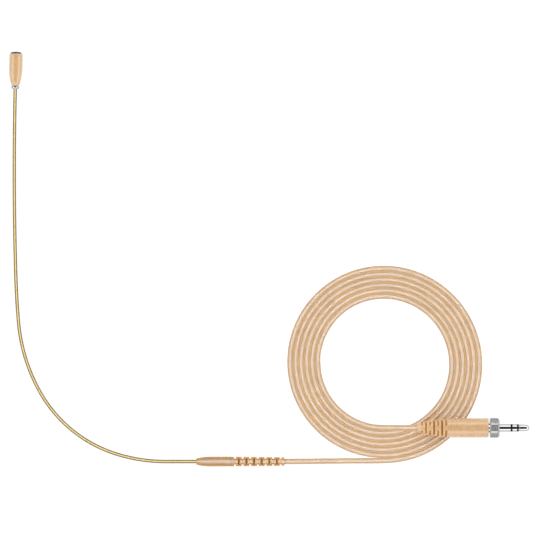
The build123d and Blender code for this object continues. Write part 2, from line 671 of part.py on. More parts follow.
with BuildPart(connector_plane) as cable_crimp:
    with Locations((0, 0, CRIMP_START)):
        Cylinder(CRIMP_RADIUS, CRIMP_END - CRIMP_START, align=(Align.CENTER, Align.CENTER, Align.MIN))
        Cylinder(CABLE_HOLE, CRIMP_END - CRIMP_START,
                 align=(Align.CENTER, Align.CENTER, Align.MIN), mode=Mode.SUBTRACT)
    chamfer(cable_crimp.edges().filter_by(GeomType.CIRCLE).sort_by(SortBy.RADIUS)[-2:], CRIMP_CHAMFER)
cable_crimp.part.label = "cable_crimp"
export_step(cable_crimp.part, "parts/cable_crimp.step")

# The two shells of the connector meet at a seam.
SHELL_BORE_RADIUS = 3.75
SHELL_REAR_CHAMFER = 0.2
SHELL_SEAM = 24.9
SEAM_CHAMFER = 0.1
SHELL_FRONT = 33.4
SHELL_FRONT_CHAMFER = 0.3
FRONT_WALL = 1.2
ROOM = 0.04              # between two pieces of the connector that slide together
INNER_RADIUS = 3.2
SOCKET_LENGTH = 2.4
with BuildPart() as rear_shell:
    with BuildSketch(connector_section):
        with BuildLine():
            Polyline(
                (BOOT_SPIGOT + ROOM, BOOT_LENGTH),
                (SHELL_RADIUS - SHELL_REAR_CHAMFER, BOOT_LENGTH),
                (SHELL_RADIUS, BOOT_LENGTH + SHELL_REAR_CHAMFER),
                (SHELL_RADIUS, SHELL_SEAM - SEAM_CHAMFER),
                (SHELL_RADIUS - SEAM_CHAMFER, SHELL_SEAM),
                (SHELL_BORE_RADIUS, SHELL_SEAM),
                (SHELL_BORE_RADIUS, BOOT_LENGTH + REAR_WALL),
                (BOOT_SPIGOT + ROOM, BOOT_LENGTH + REAR_WALL),
                close=True,
            )
        make_face()
    revolve(axis=connector_axis)
rear_shell.part.label = "rear_shell"
export_step(rear_shell.part, "parts/rear_shell.step")

NECK_RADIUS = 2.35
with BuildPart() as front_shell:
    with BuildSketch(connector_section):
        with BuildLine():
            Polyline(
                (INNER_RADIUS, SHELL_SEAM - SOCKET_LENGTH),
                (SHELL_BORE_RADIUS - ROOM, SHELL_SEAM - SOCKET_LENGTH),
                (SHELL_BORE_RADIUS - ROOM, SHELL_SEAM),
                (SHELL_RADIUS - SEAM_CHAMFER, SHELL_SEAM),
                (SHELL_RADIUS, SHELL_SEAM + SEAM_CHAMFER),
                (SHELL_RADIUS, SHELL_FRONT - SHELL_FRONT_CHAMFER),
                (SHELL_RADIUS - SHELL_FRONT_CHAMFER, SHELL_FRONT),
                (NECK_RADIUS + ROOM, SHELL_FRONT),
                (NECK_RADIUS + ROOM, SHELL_FRONT - FRONT_WALL),
                (INNER_RADIUS, SHELL_FRONT - FRONT_WALL),
                close=True,
            )
        make_face()
    revolve(axis=connector_axis)
front_shell.part.label = "front_shell"
export_step(front_shell.part, "parts/front_shell.step")

# The chassis holds the plug in the front shell, and the locking nut turns on its neck.
CHASSIS_REAR = 28.0
NECK_END = 35.1
STEM_RADIUS = 1.25
with BuildPart() as plug_chassis:
    with BuildSketch(connector_section):
        with BuildLine():
            Polyline(
                (STEM_RADIUS + ROOM, CHASSIS_REAR),
                (INNER_RADIUS - ROOM, CHASSIS_REAR),
                (INNER_RADIUS - ROOM, SHELL_FRONT - FRONT_WALL),
                (NECK_RADIUS, SHELL_FRONT - FRONT_WALL),
                (NECK_RADIUS, NECK_END),
                (STEM_RADIUS + ROOM, NECK_END),
                close=True,
            )
        make_face()
    revolve(axis=connector_axis)
plug_chassis.part.label = "plug_chassis"
export_step(plug_chassis.part, "parts/plug_chassis.step")

# Locking nut: a flange at its rear is held between the front shell and the plug's shoulder.
NUT_RADIUS = 4.65
NUT_REAR = 34.1
NUT_FRONT = 38.6
NUT_FLANGE_FRONT = 35.0
NUT_BORE = 3.0
NUT_FLANGE_BORE = 2.42
NUT_REAR_CHAMFER = 0.35
NUT_FRONT_CHAMFER = 0.7
with BuildPart() as locking_nut:
    with BuildSketch(connector_section):
        with BuildLine():
            Polyline(
                (NUT_FLANGE_BORE, NUT_REAR),
                (NUT_RADIUS - NUT_REAR_CHAMFER, NUT_REAR),
                (NUT_RADIUS, NUT_REAR + NUT_REAR_CHAMFER),
                (NUT_RADIUS, NUT_FRONT - NUT_FRONT_CHAMFER),
                (NUT_RADIUS - NUT_FRONT_CHAMFER, NUT_FRONT),
                (NUT_BORE, NUT_FRONT),
                (NUT_BORE, NUT_FLANGE_FRONT),
                (NUT_FLANGE_BORE, NUT_FLANGE_FRONT),
                close=True,
            )
        make_face()
    revolve(axis=connector_axis)
locking_nut.part.label = "locking_nut"
export_step(locking_nut.part, "parts/locking_nut.step")

# Three-pole plug of 3.5 mm. Its sleeve, ring and tip are nested tubes with insulators between them.
SHOULDER_RADIUS = 2.75
SHOULDER_FRONT = 35.9
SLEEVE_END = 43.8
RING_START = 44.7
RING_END = 46.8
TIP_START = 47.6
TIP_END = 52.6
TUBE_GAP = 0.03
SLEEVE_BORE = 1.05
REAR_INSULATOR_BORE = 0.85
RING_BORE = 0.6
FRONT_INSULATOR_BORE = 0.4
# Each nested tube reaches a little further back than the one round it.
SLEEVE_REAR = 29.0
REAR_INSULATOR_REAR = 28.2
RING_REAR = 27.4
FRONT_INSULATOR_REAR = 26.6
TIP_REAR = 25.8
with BuildPart() as plug_sleeve:
    with BuildSketch(connector_section):
        with BuildLine():
            Polyline(
                (SLEEVE_BORE, SLEEVE_REAR),
                (STEM_RADIUS, SLEEVE_REAR),
                (STEM_RADIUS, NECK_END),
                (SHOULDER_RADIUS, NECK_END),
                (SHOULDER_RADIUS, SHOULDER_FRONT),
                (PLUG_RADIUS, SHOULDER_FRONT),
                (PLUG_RADIUS, SLEEVE_END),
                (SLEEVE_BORE, SLEEVE_END),
                close=True,
            )
        make_face()
    revolve(axis=connector_axis)
plug_sleeve.part.label = "plug_sleeve"
export_step(plug_sleeve.part, "parts/plug_sleeve.step")

with BuildPart() as rear_insulator:
    with BuildSketch(connector_section):
        with BuildLine():
            Polyline(
                (REAR_INSULATOR_BORE, REAR_INSULATOR_REAR),
                (SLEEVE_BORE - TUBE_GAP, REAR_INSULATOR_REAR),
                (SLEEVE_BORE - TUBE_GAP, SLEEVE_END),
                (PLUG_RADIUS, SLEEVE_END),
                (PLUG_RADIUS, RING_START),
                (REAR_INSULATOR_BORE, RING_START),
                close=True,
            )
        make_face()
    revolve(axis=connector_axis)
rear_insulator.part.label = "rear_insulator"
export_step(rear_insulator.part, "parts/rear_insulator.step")

with BuildPart() as plug_ring:
    with BuildSketch(connector_section):
        with BuildLine():
            Polyline(
                (RING_BORE, RING_REAR),
                (REAR_INSULATOR_BORE - TUBE_GAP, RING_REAR),
                (REAR_INSULATOR_BORE - TUBE_GAP, RING_START),
                (PLUG_RADIUS, RING_START),
                (PLUG_RADIUS, RING_END),
                (RING_BORE, RING_END),
                close=True,
            )
        make_face()
    revolve(axis=connector_axis)
plug_ring.part.label = "plug_ring"
export_step(plug_ring.part, "parts/plug_ring.step")

with BuildPart() as front_insulator:
    with BuildSketch(connector_section):
        with BuildLine():
            Polyline(
                (FRONT_INSULATOR_BORE, FRONT_INSULATOR_REAR),
                (RING_BORE - TUBE_GAP, FRONT_INSULATOR_REAR),
                (RING_BORE - TUBE_GAP, RING_END),
                (PLUG_RADIUS, RING_END),
                (PLUG_RADIUS, TIP_START),
                (FRONT_INSULATOR_BORE, TIP_START),
                close=True,
            )
        make_face()
    revolve(axis=connector_axis)
front_insulator.part.label = "front_insulator"
export_step(front_insulator.part, "parts/front_insulator.step")

# The tip has a groove behind its head, and the head tapers to a rounded end.
TIP_BASE_RADIUS = 1.6
TIP_BASE_FRONT = TIP_START + 0.2
TIP_BASE_TAPER = 0.05
TIP_GROOVE_RADIUS = 1.3
TIP_GROOVE_REAR = TIP_START + 0.4
TIP_GROOVE_FRONT = TIP_START + 0.5
TIP_HEAD_RADIUS = 1.58
TIP_HEAD_REAR = TIP_START + 0.7
END_HEIGHT = 1.3
END_RADIUS = 1.48
end_ball = (END_RADIUS ** 2 + END_HEIGHT ** 2) / (2 * END_HEIGHT)
end_angle = degrees(acos(END_RADIUS / end_ball))
tip_stem = FRONT_INSULATOR_BORE - TUBE_GAP
with BuildPart() as plug_tip:
    with BuildSketch(connector_section):
        with BuildLine():
            Polyline(
                (0, TIP_END),
                (0, TIP_REAR),
                (tip_stem, TIP_REAR),
                (tip_stem, TIP_START),
                (TIP_BASE_RADIUS, TIP_START),
                (TIP_BASE_RADIUS - TIP_BASE_TAPER, TIP_BASE_FRONT),
                (TIP_GROOVE_RADIUS, TIP_GROOVE_REAR),
                (TIP_GROOVE_RADIUS, TIP_GROOVE_FRONT),
                (TIP_HEAD_RADIUS, TIP_HEAD_REAR),
                (END_RADIUS, TIP_END - END_HEIGHT),
            )
            CenterArc((0, TIP_END - end_ball), end_ball, end_angle, 90 - end_angle)
        make_face()
    revolve(axis=connector_axis)
plug_tip.part.label = "plug_tip"
export_step(plug_tip.part, "parts/plug_tip.step")

# Behind the plug: an insulating block with three solder lugs, and the wires from the cable.
BLOCK_REAR = 27.0
BLOCK_THICKNESS = 0.95
BLOCK_RADIUS = INNER_RADIUS - 0.1
BLOCK_BORE = 1.08
LUG_RADIUS = 2.0
LUG_THICKNESS = 0.3
LUG_WIDTH = 1.1
LUG_LENGTH = 4.0
LUG_COUNT = 3
with BuildPart(connector_plane) as terminal_block:
    with Locations((0, 0, BLOCK_REAR)):
        Cylinder(BLOCK_RADIUS, BLOCK_THICKNESS, align=(Align.CENTER, Align.CENTER, Align.MIN))
        Cylinder(BLOCK_BORE, BLOCK_THICKNESS, align=(Align.CENTER, Align.CENTER, Align.MIN),
                 mode=Mode.SUBTRACT)
terminal_block.part.label = "terminal_block"
export_step(terminal_block.part, "parts/terminal_block.step")

with BuildPart(connector_plane) as solder_lugs:
    with Locations((0, 0, BLOCK_REAR - LUG_LENGTH)):
        with PolarLocations(LUG_RADIUS, LUG_COUNT):
            Box(LUG_THICKNESS, LUG_WIDTH, LUG_LENGTH, align=(Align.CENTER, Align.CENTER, Align.MIN))
solder_lugs.part.label = "solder_lugs"
export_step(solder_lugs.part, "parts/solder_lugs.step")

CORE_RADIUS = 0.3
CORE_START = 15.0
CORE_OFFSET = 0.7
CORE_END_OFFSET = 1.5
CORE_END = BLOCK_REAR - LUG_LENGTH + 1.0
with BuildPart() as connector_wires:
    for number in range(LUG_COUNT):
        outward = UP.rotate(Axis.X, 360 / LUG_COUNT * number)
        near = CONNECTOR_BASE + ALONG_X * CORE_START + outward * CORE_OFFSET
        far = CONNECTOR_BASE + ALONG_X * CORE_END + outward * CORE_END_OFFSET
        with BuildSketch(Plane(origin=near, z_dir=far - near)):
            Circle(CORE_RADIUS)
        extrude(amount=(far - near).length)
connector_wires.part.label = "connector_wires"
export_step(connector_wires.part, "parts/connector_wires.step")

# Where the joints turn, for the record.
for number, distance in enumerate(BENDS):
    place_x, place_y, heading = boom_place(distance)
    print("bend", number + 1, in_boom_plane(place_x, place_y), "along", heading_vector(heading))
print("boom plane's normal", boom_plane.z_dir)
print("capsule axis", capsule_base, capsule_direction)
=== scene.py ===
import json
from math import asin, ceil, cos, hypot, pi, radians, sin, sqrt, tan

import bmesh
import bpy
from mathutils import Matrix, Vector

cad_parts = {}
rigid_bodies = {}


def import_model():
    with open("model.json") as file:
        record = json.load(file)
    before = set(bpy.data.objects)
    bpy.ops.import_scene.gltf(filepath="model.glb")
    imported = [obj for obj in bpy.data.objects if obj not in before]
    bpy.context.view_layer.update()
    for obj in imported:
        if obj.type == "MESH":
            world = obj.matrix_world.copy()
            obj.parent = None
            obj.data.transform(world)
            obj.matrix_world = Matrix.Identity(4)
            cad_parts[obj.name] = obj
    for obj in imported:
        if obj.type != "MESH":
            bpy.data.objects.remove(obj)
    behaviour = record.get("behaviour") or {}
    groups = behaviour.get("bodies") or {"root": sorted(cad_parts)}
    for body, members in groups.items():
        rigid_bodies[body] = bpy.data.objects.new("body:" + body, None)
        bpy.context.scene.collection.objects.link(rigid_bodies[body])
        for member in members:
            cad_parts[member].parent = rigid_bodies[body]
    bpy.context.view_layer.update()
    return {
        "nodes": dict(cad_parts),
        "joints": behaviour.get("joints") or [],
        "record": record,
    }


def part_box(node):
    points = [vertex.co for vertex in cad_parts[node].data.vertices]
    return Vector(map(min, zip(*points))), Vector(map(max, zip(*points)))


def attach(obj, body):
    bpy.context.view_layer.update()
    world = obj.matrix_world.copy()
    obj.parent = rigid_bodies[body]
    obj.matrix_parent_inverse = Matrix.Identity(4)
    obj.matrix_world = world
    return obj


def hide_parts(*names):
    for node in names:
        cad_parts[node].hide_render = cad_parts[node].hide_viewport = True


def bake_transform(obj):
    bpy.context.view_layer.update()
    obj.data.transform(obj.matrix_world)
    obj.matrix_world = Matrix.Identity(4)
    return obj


# Headset microphone lying on a table: the looks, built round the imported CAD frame.
# Everything in the scene is in metres. Outlines of turned pieces are in millimetres.

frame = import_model()

MM = 0.001
UP = Vector((0, 0, 1))
ALONG_X = Vector((1, 0, 0))
joints = {joint["name"]: joint for joint in frame["joints"]}
mounts = {mount["name"]: mount for mount in frame["record"]["mounts"]}


# ---------------------------------------- camera
PICTURE_CENTRE = Vector((0.05635, -0.00362, 0.0025))
PICTURE_WIDTH = 0.2505
LENS_MM = 500.0
SENSOR_MM = 36.0

camera_data = bpy.data.cameras.new("camera")
camera_data.lens = LENS_MM
camera_data.sensor_width = SENSOR_MM
camera = bpy.data.objects.new("camera", camera_data)
camera.location = PICTURE_CENTRE + UP * (PICTURE_WIDTH * LENS_MM / SENSOR_MM)
bpy.context.scene.collection.objects.link(camera)
bpy.context.scene.camera = camera


# ---------------------------------------- cable
CABLE_RADIUS = 0.0013
CABLE_STEPS = 8         # from one control point of the cable to the next
CABLE_ROUND_STEPS = 6   # round a quarter of the cable
# The lead leaves the junction and comes down onto the table.
LEAD_POINTS = [
    (0.0610, -0.0953, 0.00228),
    (0.0685, -0.0953, 0.00228),
    (0.0962, -0.09495, 0.0013),
]
# Six turns wind inwards. The right halves and the left halves have centres half a pitch apart.
COIL_CENTRE = Vector((0.1113, -0.04975, CABLE_RADIUS))
FIRST_TURN_RADIUS = 0.0452
QUARTER_TURNS = 24
POINTS_IN_QUARTER = 4
# The last quarter turn climbs to these heights, and then goes on into the connector.
TAIL_HEIGHTS = [0.00135, 0.0016, 0.0021, 0.0028, 0.0036, 0.0045, 0.0053, 0.0060]
TAIL_END_POINTS = [
    (0.1236, -0.07935, 0.0071),
    (0.1420, -0.07935, 0.0071),
]


def coil_points():
    """The coil's control points: the corners of a polygon that its turns touch."""
    points = []
    for quarter in range(QUARTER_TURNS):
        half_turn = quarter // 2
        radius = FIRST_TURN_RADIUS - CABLE_RADIUS * half_turn
        centre = COIL_CENTRE + Vector((0, CABLE_RADIUS * (half_turn % 2), 0))
        heights = [CABLE_RADIUS] * POINTS_IN_QUARTER
        if quarter == QUARTER_TURNS - 1:
            heights = TAIL_HEIGHTS
        step = radians(90 / len(heights))
        corner = radius / cos(step / 2)
        for number, height in enumerate(heights):
            angle = radians(90 * (quarter - 1)) + step * (number + 0.5)
            points.append((centre.x + corner * cos(angle), centre.y + corner * sin(angle), height))
    return points


def spline_curve(name, points, radius):
    """A round cable along one smooth spline."""
    data = bpy.data.curves.new(name, "CURVE")
    data.dimensions = "3D"
    spline = data.splines.new("NURBS")
    spline.points.add(len(points) - 1)
    for spline_point, point in zip(spline.points, points):
        spline_point.co = (*point, 1)
    spline.order_u = 3
    spline.use_endpoint_u = True
    spline.resolution_u = CABLE_STEPS
    data.bevel_depth = radius
    data.bevel_resolution = CABLE_ROUND_STEPS
    data.use_fill_caps = True
    piece = bpy.data.objects.new(name, data)
    bpy.context.scene.collection.objects.link(piece)
    return piece


cable = spline_curve("cable", LEAD_POINTS + coil_points() + TAIL_END_POINTS, CABLE_RADIUS)


# ---------------------------------------- materials
def noise(tree, coordinates, size, detail=3.0, stretch=(1, 1, 1)):
    """A noise node whose features are about this size, in metres or in UV units."""
    mapping = tree.nodes.new("ShaderNodeMapping")
    mapping.inputs["Scale"].default_value = stretch
    tree.links.new(coordinates, mapping.inputs["Vector"])
    node = tree.nodes.new("ShaderNodeTexNoise")
    node.inputs["Scale"].default_value = 1 / size
    node.inputs["Detail"].default_value = detail
    tree.links.new(mapping.outputs["Vector"], node.inputs["Vector"])
    return node.outputs["Fac"]


NOISE_LOW = 0.3         # most of a noise lies between these
NOISE_HIGH = 0.7


def spread(tree, value, low, high):
    """Spreads the middle of a noise from low to high."""
    node = tree.nodes.new("ShaderNodeMapRange")
    node.inputs["From Min"].default_value = NOISE_LOW
    node.inputs["From Max"].default_value = NOISE_HIGH
    node.inputs["To Min"].default_value = low
    node.inputs["To Max"].default_value = high
    tree.links.new(value, node.inputs["Value"])
    return node.outputs["Result"]


# Painted shade: these depth marks turn a finish to a shade colour in slots and knurls.
GROOVE_SHADE_MARKS = "groove"  # how deep in a slot or a knurl each corner of a mesh is, from 0 to 1
UNDER_SKIN = (1.0, 0.8, 0.6)  # how far red, green and blue light go there, in shares of the glow
GRAIN_HEIGHT = 0.2      # of the grain's size
# The colour sockets of a Mix node. It has sockets of the same names for other kinds of data.
MIX_FACTOR = 0
MIX_FIRST = 6
MIX_SECOND = 7
MIX_RESULT = 2


def surface(name, colour, roughness, metallic=0.0, specular=0.5, coat=0.0, coat_roughness=0.1,
            mottle=0.05, mottle_size=0.004, wear=0.05, wear_size=0.001, stretch=(1, 1, 1),
            grain=0.1, grain_size=0.0001, by_length=False, sheen=0.0, glow=0.0, edge=(1, 1, 1),
            groove_shade=None):
    """A finish with mottled colour, uneven gloss and a fine grain.

    mottle, wear and grain are how strong those three are, and their sizes are in metres, or in UV
    units by_length. glow is how far light goes under a soft skin, in metres, and edge tints the
    gloss. Where a mesh marks grooves, the finish turns matt and takes the colour given for the
    grooves: painted shade, the tone of a shaded slot floor or knurl recess.
    """
    material = bpy.data.materials.new(name)
    material.use_nodes = True
    tree = material.node_tree
    shader = tree.nodes["Principled BSDF"]
    shader.inputs["Metallic"].default_value = metallic
    shader.inputs["Specular IOR Level"].default_value = specular
    shader.inputs["Coat Weight"].default_value = coat
    shader.inputs["Coat Roughness"].default_value = coat_roughness
    shader.inputs["Sheen Weight"].default_value = sheen
    shader.inputs["Subsurface Weight"].default_value = 1.0 if glow else 0.0
    shader.inputs["Subsurface Radius"].default_value = UNDER_SKIN
    shader.inputs["Subsurface Scale"].default_value = glow
    shader.inputs["Specular Tint"].default_value = (*edge, 1)
    where = tree.nodes.new("ShaderNodeTexCoord").outputs["UV" if by_length else "Object"]

    shades = tree.nodes.new("ShaderNodeMix")
    shades.data_type = "RGBA"
    darker = [channel * (1 - mottle) for channel in colour]
    lighter = [min(1.0, channel * (1 + mottle)) for channel in colour]
    shades.inputs[MIX_FIRST].default_value = (*darker, 1)
    shades.inputs[MIX_SECOND].default_value = (*lighter, 1)
    tree.links.new(spread(tree, noise(tree, where, mottle_size), 0, 1), shades.inputs[MIX_FACTOR])
    colours = shades.outputs[MIX_RESULT]
    # Painted shade: deep in a slot or a knurl, as the mesh marks it, the colour turns to the given
    # groove colour and the gloss fades.
    if groove_shade:
        marks = tree.nodes.new("ShaderNodeAttribute")
        marks.attribute_name = GROOVE_SHADE_MARKS
        painted_shade_mix = tree.nodes.new("ShaderNodeMix")
        painted_shade_mix.data_type = "RGBA"
        painted_shade_mix.inputs[MIX_SECOND].default_value = (*groove_shade, 1)
        tree.links.new(marks.outputs["Fac"], painted_shade_mix.inputs[MIX_FACTOR])
        tree.links.new(colours, painted_shade_mix.inputs[MIX_FIRST])
        colours = painted_shade_mix.outputs[MIX_RESULT]
        for socket, strength in (("Coat Weight", coat), ("Specular IOR Level", specular)):
            matt = tree.nodes.new("ShaderNodeMath")
            matt.operation = "MULTIPLY_ADD"
            matt.inputs[1].default_value = -strength
            matt.inputs[2].default_value = strength
            tree.links.new(marks.outputs["Fac"], matt.inputs[0])
            tree.links.new(matt.outputs[0], shader.inputs[socket])
    tree.links.new(colours, shader.inputs["Base Color"])

    uneven = noise(tree, where, wear_size, detail=5.0, stretch=stretch)
    gloss = spread(tree, uneven, roughness - wear, roughness + wear)
    tree.links.new(gloss, shader.inputs["Roughness"])

    bump = tree.nodes.new("ShaderNodeBump")
    bump.inputs["Strength"].default_value = grain
    bump.inputs["Distance"].default_value = GRAIN_HEIGHT * grain_size
    fine = noise(tree, where, grain_size, detail=2.0, stretch=stretch)
    tree.links.new(fine, bump.inputs["Height"])
    tree.links.new(bump.outputs["Normal"], shader.inputs["Normal"])
    return material


# Long thin marks: the noise is squeezed along one axis, or along two.
DRAWN_LENGTHWAYS = (1.0, 0.05, 1.0)
TURNED = (0.1, 0.1, 1.0)

# Beige plastic and rubber, then metal, then the black insulator and what is inside.
# A finish's groove colour is painted shade, the tone of the shaded floors of its slots or its
# knurl.
FINISHES = {
    "capsule_plastic": dict(
        colour=(0.68, 0.43, 0.21), roughness=0.20, specular=1.0, coat=1.0, coat_roughness=0.18,
        wear=0.03,
    ),
    "connector_shell": dict(
        colour=(0.66, 0.405, 0.195), roughness=0.28, specular=1.0, coat=0.7, coat_roughness=0.25,
        wear=0.04,
    ),
    "boot_rubber": dict(
        colour=(0.46, 0.262, 0.088), roughness=0.45, glow=0.002, grain=0.2, grain_size=0.00008,
        groove_shade=(0.60, 0.34, 0.12),
    ),
    "glossy_rubber": dict(
        colour=(0.69, 0.43, 0.21), roughness=0.30, specular=1.0, coat=1.0, coat_roughness=0.28,
        wear=0.04, grain=0.15, grain_size=0.00008, groove_shade=(0.70, 0.38, 0.12),
    ),
    "cable_jacket": dict(
        colour=(0.49, 0.316, 0.155), roughness=0.48, glow=0.002, grain=0.15, grain_size=0.00012,
    ),
    "boom_gold": dict(
        colour=(0.25, 0.19, 0.085), roughness=0.24, metallic=1.0, edge=(0.25, 0.2, 0.1),
        by_length=True, stretch=DRAWN_LENGTHWAYS, mottle=0.03, mottle_size=0.2, wear_size=0.02,
        grain_size=0.01,
    ),
    "chrome": dict(
        colour=(0.58, 0.58, 0.58), roughness=0.20, metallic=1.0, mottle=0.02, grain=0.05,
        groove_shade=(0.08, 0.08, 0.08),
    ),
    "satin_chrome": dict(
        colour=(0.72, 0.73, 0.75), roughness=0.50, metallic=1.0, mottle=0.02, grain=0.05,
    ),
    "bright_chrome": dict(
        colour=(0.50, 0.53, 0.57), roughness=0.14, metallic=1.0, mottle=0.02, wear=0.04,
        grain=0.03,
    ),
    "plug_metal": dict(
        colour=(0.70, 0.70, 0.70), roughness=0.07, metallic=1.0, edge=(0.4, 0.4, 0.4),
        mottle=0.01, wear=0.03, grain=0.02,
    ),
    "grille_mesh": dict(
        colour=(0.13, 0.14, 0.17), roughness=0.38, metallic=1.0, mottle=0.15,
        mottle_size=0.0006, wear=0.08, grain_size=0.00005,
    ),
    "insulator": dict(colour=(0.004, 0.004, 0.004), roughness=0.4, specular=0.15, mottle=0.3),
    "felt": dict(
        colour=(0.035, 0.036, 0.045), roughness=0.95, specular=0.1, mottle=0.5,
        mottle_size=0.0003, grain=0.9, grain_size=0.00006, sheen=0.3,
    ),
    "cartridge_aluminium": dict(
        colour=(0.74, 0.75, 0.77), roughness=0.33, metallic=1.0, stretch=TURNED, wear=0.1,
    ),
    "sleeve_rubber": dict(colour=(0.03, 0.03, 0.03), roughness=0.75, mottle=0.2, grain=0.4),
    "diaphragm_film": dict(colour=(0.80, 0.66, 0.36), roughness=0.18, metallic=0.9),
    "holder_plastic": dict(colour=(0.62, 0.60, 0.54), roughness=0.5),
    "contact_brass": dict(colour=(0.76, 0.58, 0.28), roughness=0.28, metallic=1.0, wear=0.1),
    "board_laminate": dict(
        colour=(0.03, 0.17, 0.07), roughness=0.42, mottle=0.25, mottle_size=0.0005,
    ),
    "chip_plastic": dict(colour=(0.025, 0.025, 0.028), roughness=0.55, mottle=0.2, grain=0.3),
    "solder": dict(colour=(0.66, 0.67, 0.69), roughness=0.3, metallic=1.0, mottle=0.1, wear=0.12),
    "chassis_metal": dict(colour=(0.72, 0.71, 0.68), roughness=0.22, metallic=1.0, wear=0.06),
    "wire_insulation": dict(colour=(0.04, 0.04, 0.045), roughness=0.5, mottle=0.15),
}
MATERIALS = {name: surface(name, **finish) for name, finish in FINISHES.items()}

for subpart in frame["record"]["subparts"]:
    node_mesh = frame["nodes"][subpart["node"]].data
    node_mesh.materials.clear()
    node_mesh.materials.append(MATERIALS[subpart["material_slot"]])


# ---------------------------------------- mesh helpers
SHARP_ANGLE = radians(35)


def finish_piece(name, mesh, body, slot, *nodes, finish=None):
    """Puts a closed mesh in the scene, on its CAD body and in place of its CAD nodes."""
    mesh.polygons.foreach_set("use_smooth", [True] * len(mesh.polygons))
    mesh.set_sharp_from_angle(angle=SHARP_ANGLE)
    mesh.materials.append(MATERIALS[finish or slot])
    piece = bpy.data.objects.new(name, mesh)
    bpy.context.scene.collection.objects.link(piece)
    if body:
        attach(piece, body)
    if nodes:
        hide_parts(*nodes)
    return piece


def turning_frame(origin, direction):
    """Local Z runs along a turned piece's axis, and local X is the most upright way across it."""
    along = Vector(direction).normalized()
    upright = (UP - along * UP.dot(along)).normalized()
    matrix = Matrix((upright, along.cross(upright), along)).transposed().to_4x4()
    matrix.translation = origin
    return matrix


def rounded(corners, steps=4):
    """An outline from corners (radius, height), or (radius, height, rounding) for a rounded one."""
    outline = []
    for number, (radius, height, *rounding) in enumerate(corners):
        here = Vector((radius, height))
        if not rounding:
            outline.append(tuple(here))
            continue
        before = Vector(corners[number - 1][:2]) - here
        after = Vector(corners[(number + 1) % len(corners)][:2]) - here
        half_angle = before.angle(after) / 2
        before.normalize()
        after.normalize()
        middle = here + (before + after).normalized() * rounding[0] / sin(half_angle)
        first = here + before * rounding[0] / tan(half_angle) - middle
        last = here + after * rounding[0] / tan(half_angle) - middle
        turn = first.angle_signed(last)
        for step in range(steps + 1):
            spoke = first.copy()
            spoke.rotate(Matrix.Rotation(-turn * step / steps, 2))
            outline.append(tuple(middle + spoke))
    return outline


def mesh_from(builder, name):
    """The mesh that a builder holds, with its faces turned outwards."""
    bmesh.ops.recalc_face_normals(builder, faces=builder.faces)
    mesh = bpy.data.meshes.new(name)
    builder.to_mesh(mesh)
    builder.free()
    return mesh


def circle_through(a, b, c):
    """Centre and radius of the circle through three outline points."""
    ax, ay = a
    bx, by = b[0] - ax, b[1] - ay
    cx, cy = c[0] - ax, c[1] - ay
    twice = 2 * (bx * cy - by * cx)
    x = (cy * (bx ** 2 + by ** 2) - by * (cx ** 2 + cy ** 2)) / twice
    y = (bx * (cx ** 2 + cy ** 2) - cx * (bx ** 2 + by ** 2)) / twice
    return ax + x, ay + y, hypot(x, y)


def swell(a, b, c):
    """The radius at a height, on the outward arc through three outline points."""
    centre, level, radius = circle_through(a, b, c)
    return lambda height: centre + sqrt(max(0.0, radius ** 2 - (height - level) ** 2))


def arc_outline(a, b, c, steps=10):
    """Outline points along the outward arc through three points, between the first and the last."""
    radius_at = swell(a, b, c)
    heights = [a[1] + (c[1] - a[1]) * step / steps for step in range(1, steps)]
    return [(radius_at(height), height) for height in heights]


def turned_mesh(name, place, rows, sides, depth_at=None):
    """A closed mesh from rows of (height, radius), in millimetres.

    A row's radius is a number, or a function of the angle round the axis. A radius of zero is one
    point on the axis. depth_at(height, radius) says how deep in a groove a point is, from 0 to 1.
    """
    builder = bmesh.new()
    rings = []
    for height, radius in rows:
        if radius == 0:
            rings.append([builder.verts.new(place @ Vector((0, 0, height * MM)))])
            continue
        ring = []
        for side in range(sides):
            angle = 2 * pi * side / sides
            r = (radius(angle) if callable(radius) else radius) * MM
            point = place @ Vector((r * cos(angle), r * sin(angle), height * MM))
            ring.append(builder.verts.new(point))
        rings.append(ring)
    for ring, following in zip(rings, rings[1:] + rings[:1]):
        for side in range(sides):
            corners = [ring[side % len(ring)], ring[(side + 1) % len(ring)],
                       following[(side + 1) % len(following)], following[side % len(following)]]
            unique = list(dict.fromkeys(corners))
            if len(unique) > 2:
                builder.faces.new(unique)
    mesh = mesh_from(builder, name)
    # These depth marks say where slots and knurls get their painted shade.
    if depth_at:
        marks = mesh.attributes.new(GROOVE_SHADE_MARKS, "FLOAT", "POINT")
        to_axis = place.inverted()
        for vertex, mark in zip(mesh.vertices, marks.data):
            x, y, height = (to_axis @ vertex.co) / MM
            mark.value = depth_at(height, hypot(x, y))
    return mesh


def turned(name, place, outline, body, slot, *nodes, sides=72, finish=None):
    """A round piece from a closed outline of (radius, height) points, in millimetres."""
    mesh = turned_mesh(name, place, [(height, radius) for radius, height in outline], sides)
    return finish_piece(name, mesh, body, slot, *nodes, finish=finish)


# ---------------------------------------- boom
BOOM_RADIUS = 0.8
# The boom runs straight to its first bend, and then along arcs of (length, turn in degrees).
# Places along it are lengths past the first bend.
BOOM_ARCS = [(23.3, 17.2), (47.7, 43.6), (34.6, 24.3), (21.8, 3.2), (91.1, 3.2)]
BOOM_BENDS = ["boom_bend_1", "boom_bend_2", "boom_lift", "capsule_bend"]
BEND_AT = [0.0, 46.0, 105.7, 186.0]
BEND_REACH = [12.0, 20.0, 20.0, 20.0]   # how far each way a bend is spread
BOOM_START = -23.7
BOOM_LENGTH = sum(length for length, turn in BOOM_ARCS)
BOOM_INTO_CAPSULE = 3.4
RING_SPACING = 0.8
BOOM_SIDES = 24
LENGTH_OF_UV = 10.0     # of the tube, to one UV unit

boom_origin = Vector(joints["boom_bend_1"]["pos_m"])
boom_normal = Vector(joints["boom_bend_1"]["axis"]).normalized()
boom_x = (ALONG_X - boom_normal * boom_normal.x).normalized()
boom_y = boom_normal.cross(boom_x)


